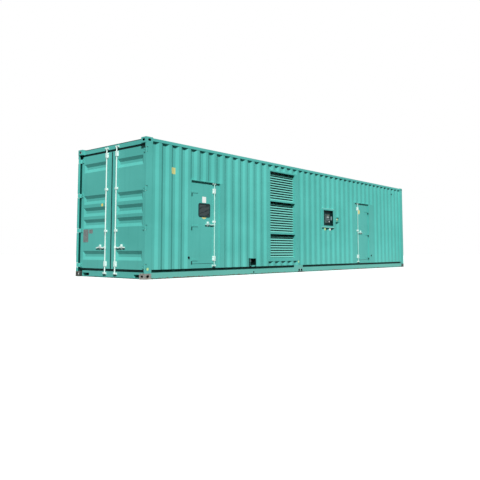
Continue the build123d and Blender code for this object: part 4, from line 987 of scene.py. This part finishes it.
def raised_frame(mesh, centre, width, height, rounding, band, lift):
    """A rounded frame that stands out from the face of a side door."""
    size = Matrix.Diagonal((width / 2, height / 2, 1, 1))
    upright = Matrix.Rotation(math.pi / 2, 4, "X")
    grid = bmesh.ops.create_grid(mesh, x_segments=1, y_segments=1, size=1, matrix=upright @ size)
    bmesh.ops.translate(mesh, vec=centre, verts=grid["verts"])
    rounded(mesh, grid["verts"], rounding, 6, affect="VERTICES")
    bmesh.ops.inset_region(
        mesh, faces=mesh.faces[:], thickness=band, use_boundary=True, use_even_offset=True
    )
    inner = max(mesh.faces, key=lambda face: len(face.verts))
    bmesh.ops.delete(mesh, geom=[inner], context="FACES")
    raised = bmesh.ops.extrude_face_region(mesh, geom=mesh.faces[:], use_keep_orig=True)["geom"]
    bmesh.ops.translate(mesh, vec=(0, -lift, 0), verts=raised_verts(raised))
    front = centre[1] - lift + 0.0001
    lips = [edge for edge in mesh.edges if all(v.co.y < front for v in edge.verts)]
    lips = [edge for edge in lips if any(abs(face.normal.y) < 0.5 for face in edge.link_faces)]
    rounded(mesh, lips, lift * 0.3, 2)


grey_rubber = mottled(
    "grey_rubber", 20, (34, 56, 58), (50, 72, 73), rough=0.6, relief=0.0005, steps=(0.35, 0.7)
)
grey_rubber.feed("Specular IOR Level", 0.1)
gasket = bmesh.new()
raised_frame(gasket, (-4.3625, side_face, 1.49), 0.375, 0.31, 0.045, 0.03, 0.011)
piece("window_gasket", gasket, grey_rubber, "side_door_1")

door_sign = bmesh.new()
plate(door_sign, (-4.428, side_face - 0.001, 1.657), (-4.304, side_face, 1.794), 0.008)
piece("door_1_sign", door_sign, pale_label, "side_door_1")
pane_sticker = bmesh.new()
disc(pane_sticker, (-4.367, side_face, 1.39), near_way, 0.1, sticker_thick, 40)
bmesh.ops.bisect_plane(
    pane_sticker,
    geom=[*pane_sticker.verts, *pane_sticker.edges, *pane_sticker.faces],
    plane_co=(0, 0, 1.348),
    plane_no=(0, 0, 1),
    clear_outer=True,
)
bmesh.ops.holes_fill(pane_sticker, edges=[edge for edge in pane_sticker.edges if edge.is_boundary])
piece("door_1_sticker", pane_sticker, sticker_pale, "side_door_1")
leaf_sticker = bmesh.new()
disc(leaf_sticker, (2.82, side_face, 1.848), near_way, 0.075, sticker_thick, 32)
piece("door_2_sticker", leaf_sticker, sticker_pale, "side_door_2")


# Studio
# A pale floor in a white surround, a soft sun high on the near side, a weaker and
# softer light from behind, and a faint sky.
def background_share(tree):
    """1 for rays that show the background: the camera's, and those of gloss and glass."""
    seen, glossed, through = tree.add("ShaderNodeLightPath", out=(0, 3, 6))
    return (seen + glossed + through).math("MINIMUM", 1.0)


def soft_sun(name, energy, spread, direction):
    """A distant light of one direction, whose spread in degrees softens its shadows."""
    data = bpy.data.lights.new(name, "SUN")
    data.energy = energy
    data.angle = math.radians(spread)
    shown(name, data).rotation_euler = Vector(direction).to_track_quat("-Z", "Y").to_euler()
    return data


floor_white = Finish("floor_white")
floor_pale = floor_white.mix(floor_white.noise(0.5, 3), (252, 252, 253), (255, 255, 255))
floor_tone = floor_white.mix(background_share(floor_white), (64, 64, 64), floor_pale)
floor_white.feed("Base Color", floor_tone)
floor_white.feed("Roughness", 0.9)
floor_white.feed("Specular IOR Level", 0.1)
ground = bmesh.new()
bmesh.ops.create_grid(ground, x_segments=1, y_segments=1, size=60)
ground_data = bpy.data.meshes.new("studio_floor")
ground.to_mesh(ground_data)
ground.free()
ground_data.materials.append(floor_white.material)
shown("studio_floor", ground_data)

world = bpy.data.worlds.new("studio")
bpy.context.scene.world = world
sky = Tree(world)
sky.nodes.remove(sky.nodes["Background"])
sky_light = sky.add("ShaderNodeBackground", {}, [(0.93, 0.97, 1.0, 1.0), 0.08])
sky_white = sky.add("ShaderNodeBackground", {}, [(1.0, 1.0, 1.0, 1.0), 1.0])
sky_blend = sky.add("ShaderNodeMixShader", {}, [background_share(sky), sky_light, sky_white])
sky.join(sky.nodes["World Output"].inputs["Surface"], sky_blend)

sun = soft_sun("sun", 4.8, 6, (0.88, 1.0, -1.3))
sun.color = (0.975, 1.0, 0.985)
soft_sun("fill", 1.8, 40, (-0.7, -0.8, -0.55))

# Camera
# It stands low and off the near door corner, and looks slightly up along the near
# side. The shift moves the housing to its place in the frame.
camera_data = bpy.data.cameras.new("camera")
camera_data.sensor_width = 36
camera_data.lens = 40.58
camera_data.shift_x = -0.006
camera_data.shift_y = -0.0646
camera = shown("camera", camera_data)
camera.location = (-13.068, -9.733, 0.559)
yaw = math.radians(40.43)
pitch = math.radians(4.5)
aim = Vector((math.cos(pitch) * math.cos(yaw), math.cos(pitch) * math.sin(yaw), math.sin(pitch)))
camera.rotation_euler = aim.to_track_quat("-Z", "Y").to_euler()
bpy.context.scene.camera = camera
bpy.context.scene.view_settings.view_transform = "Standard"
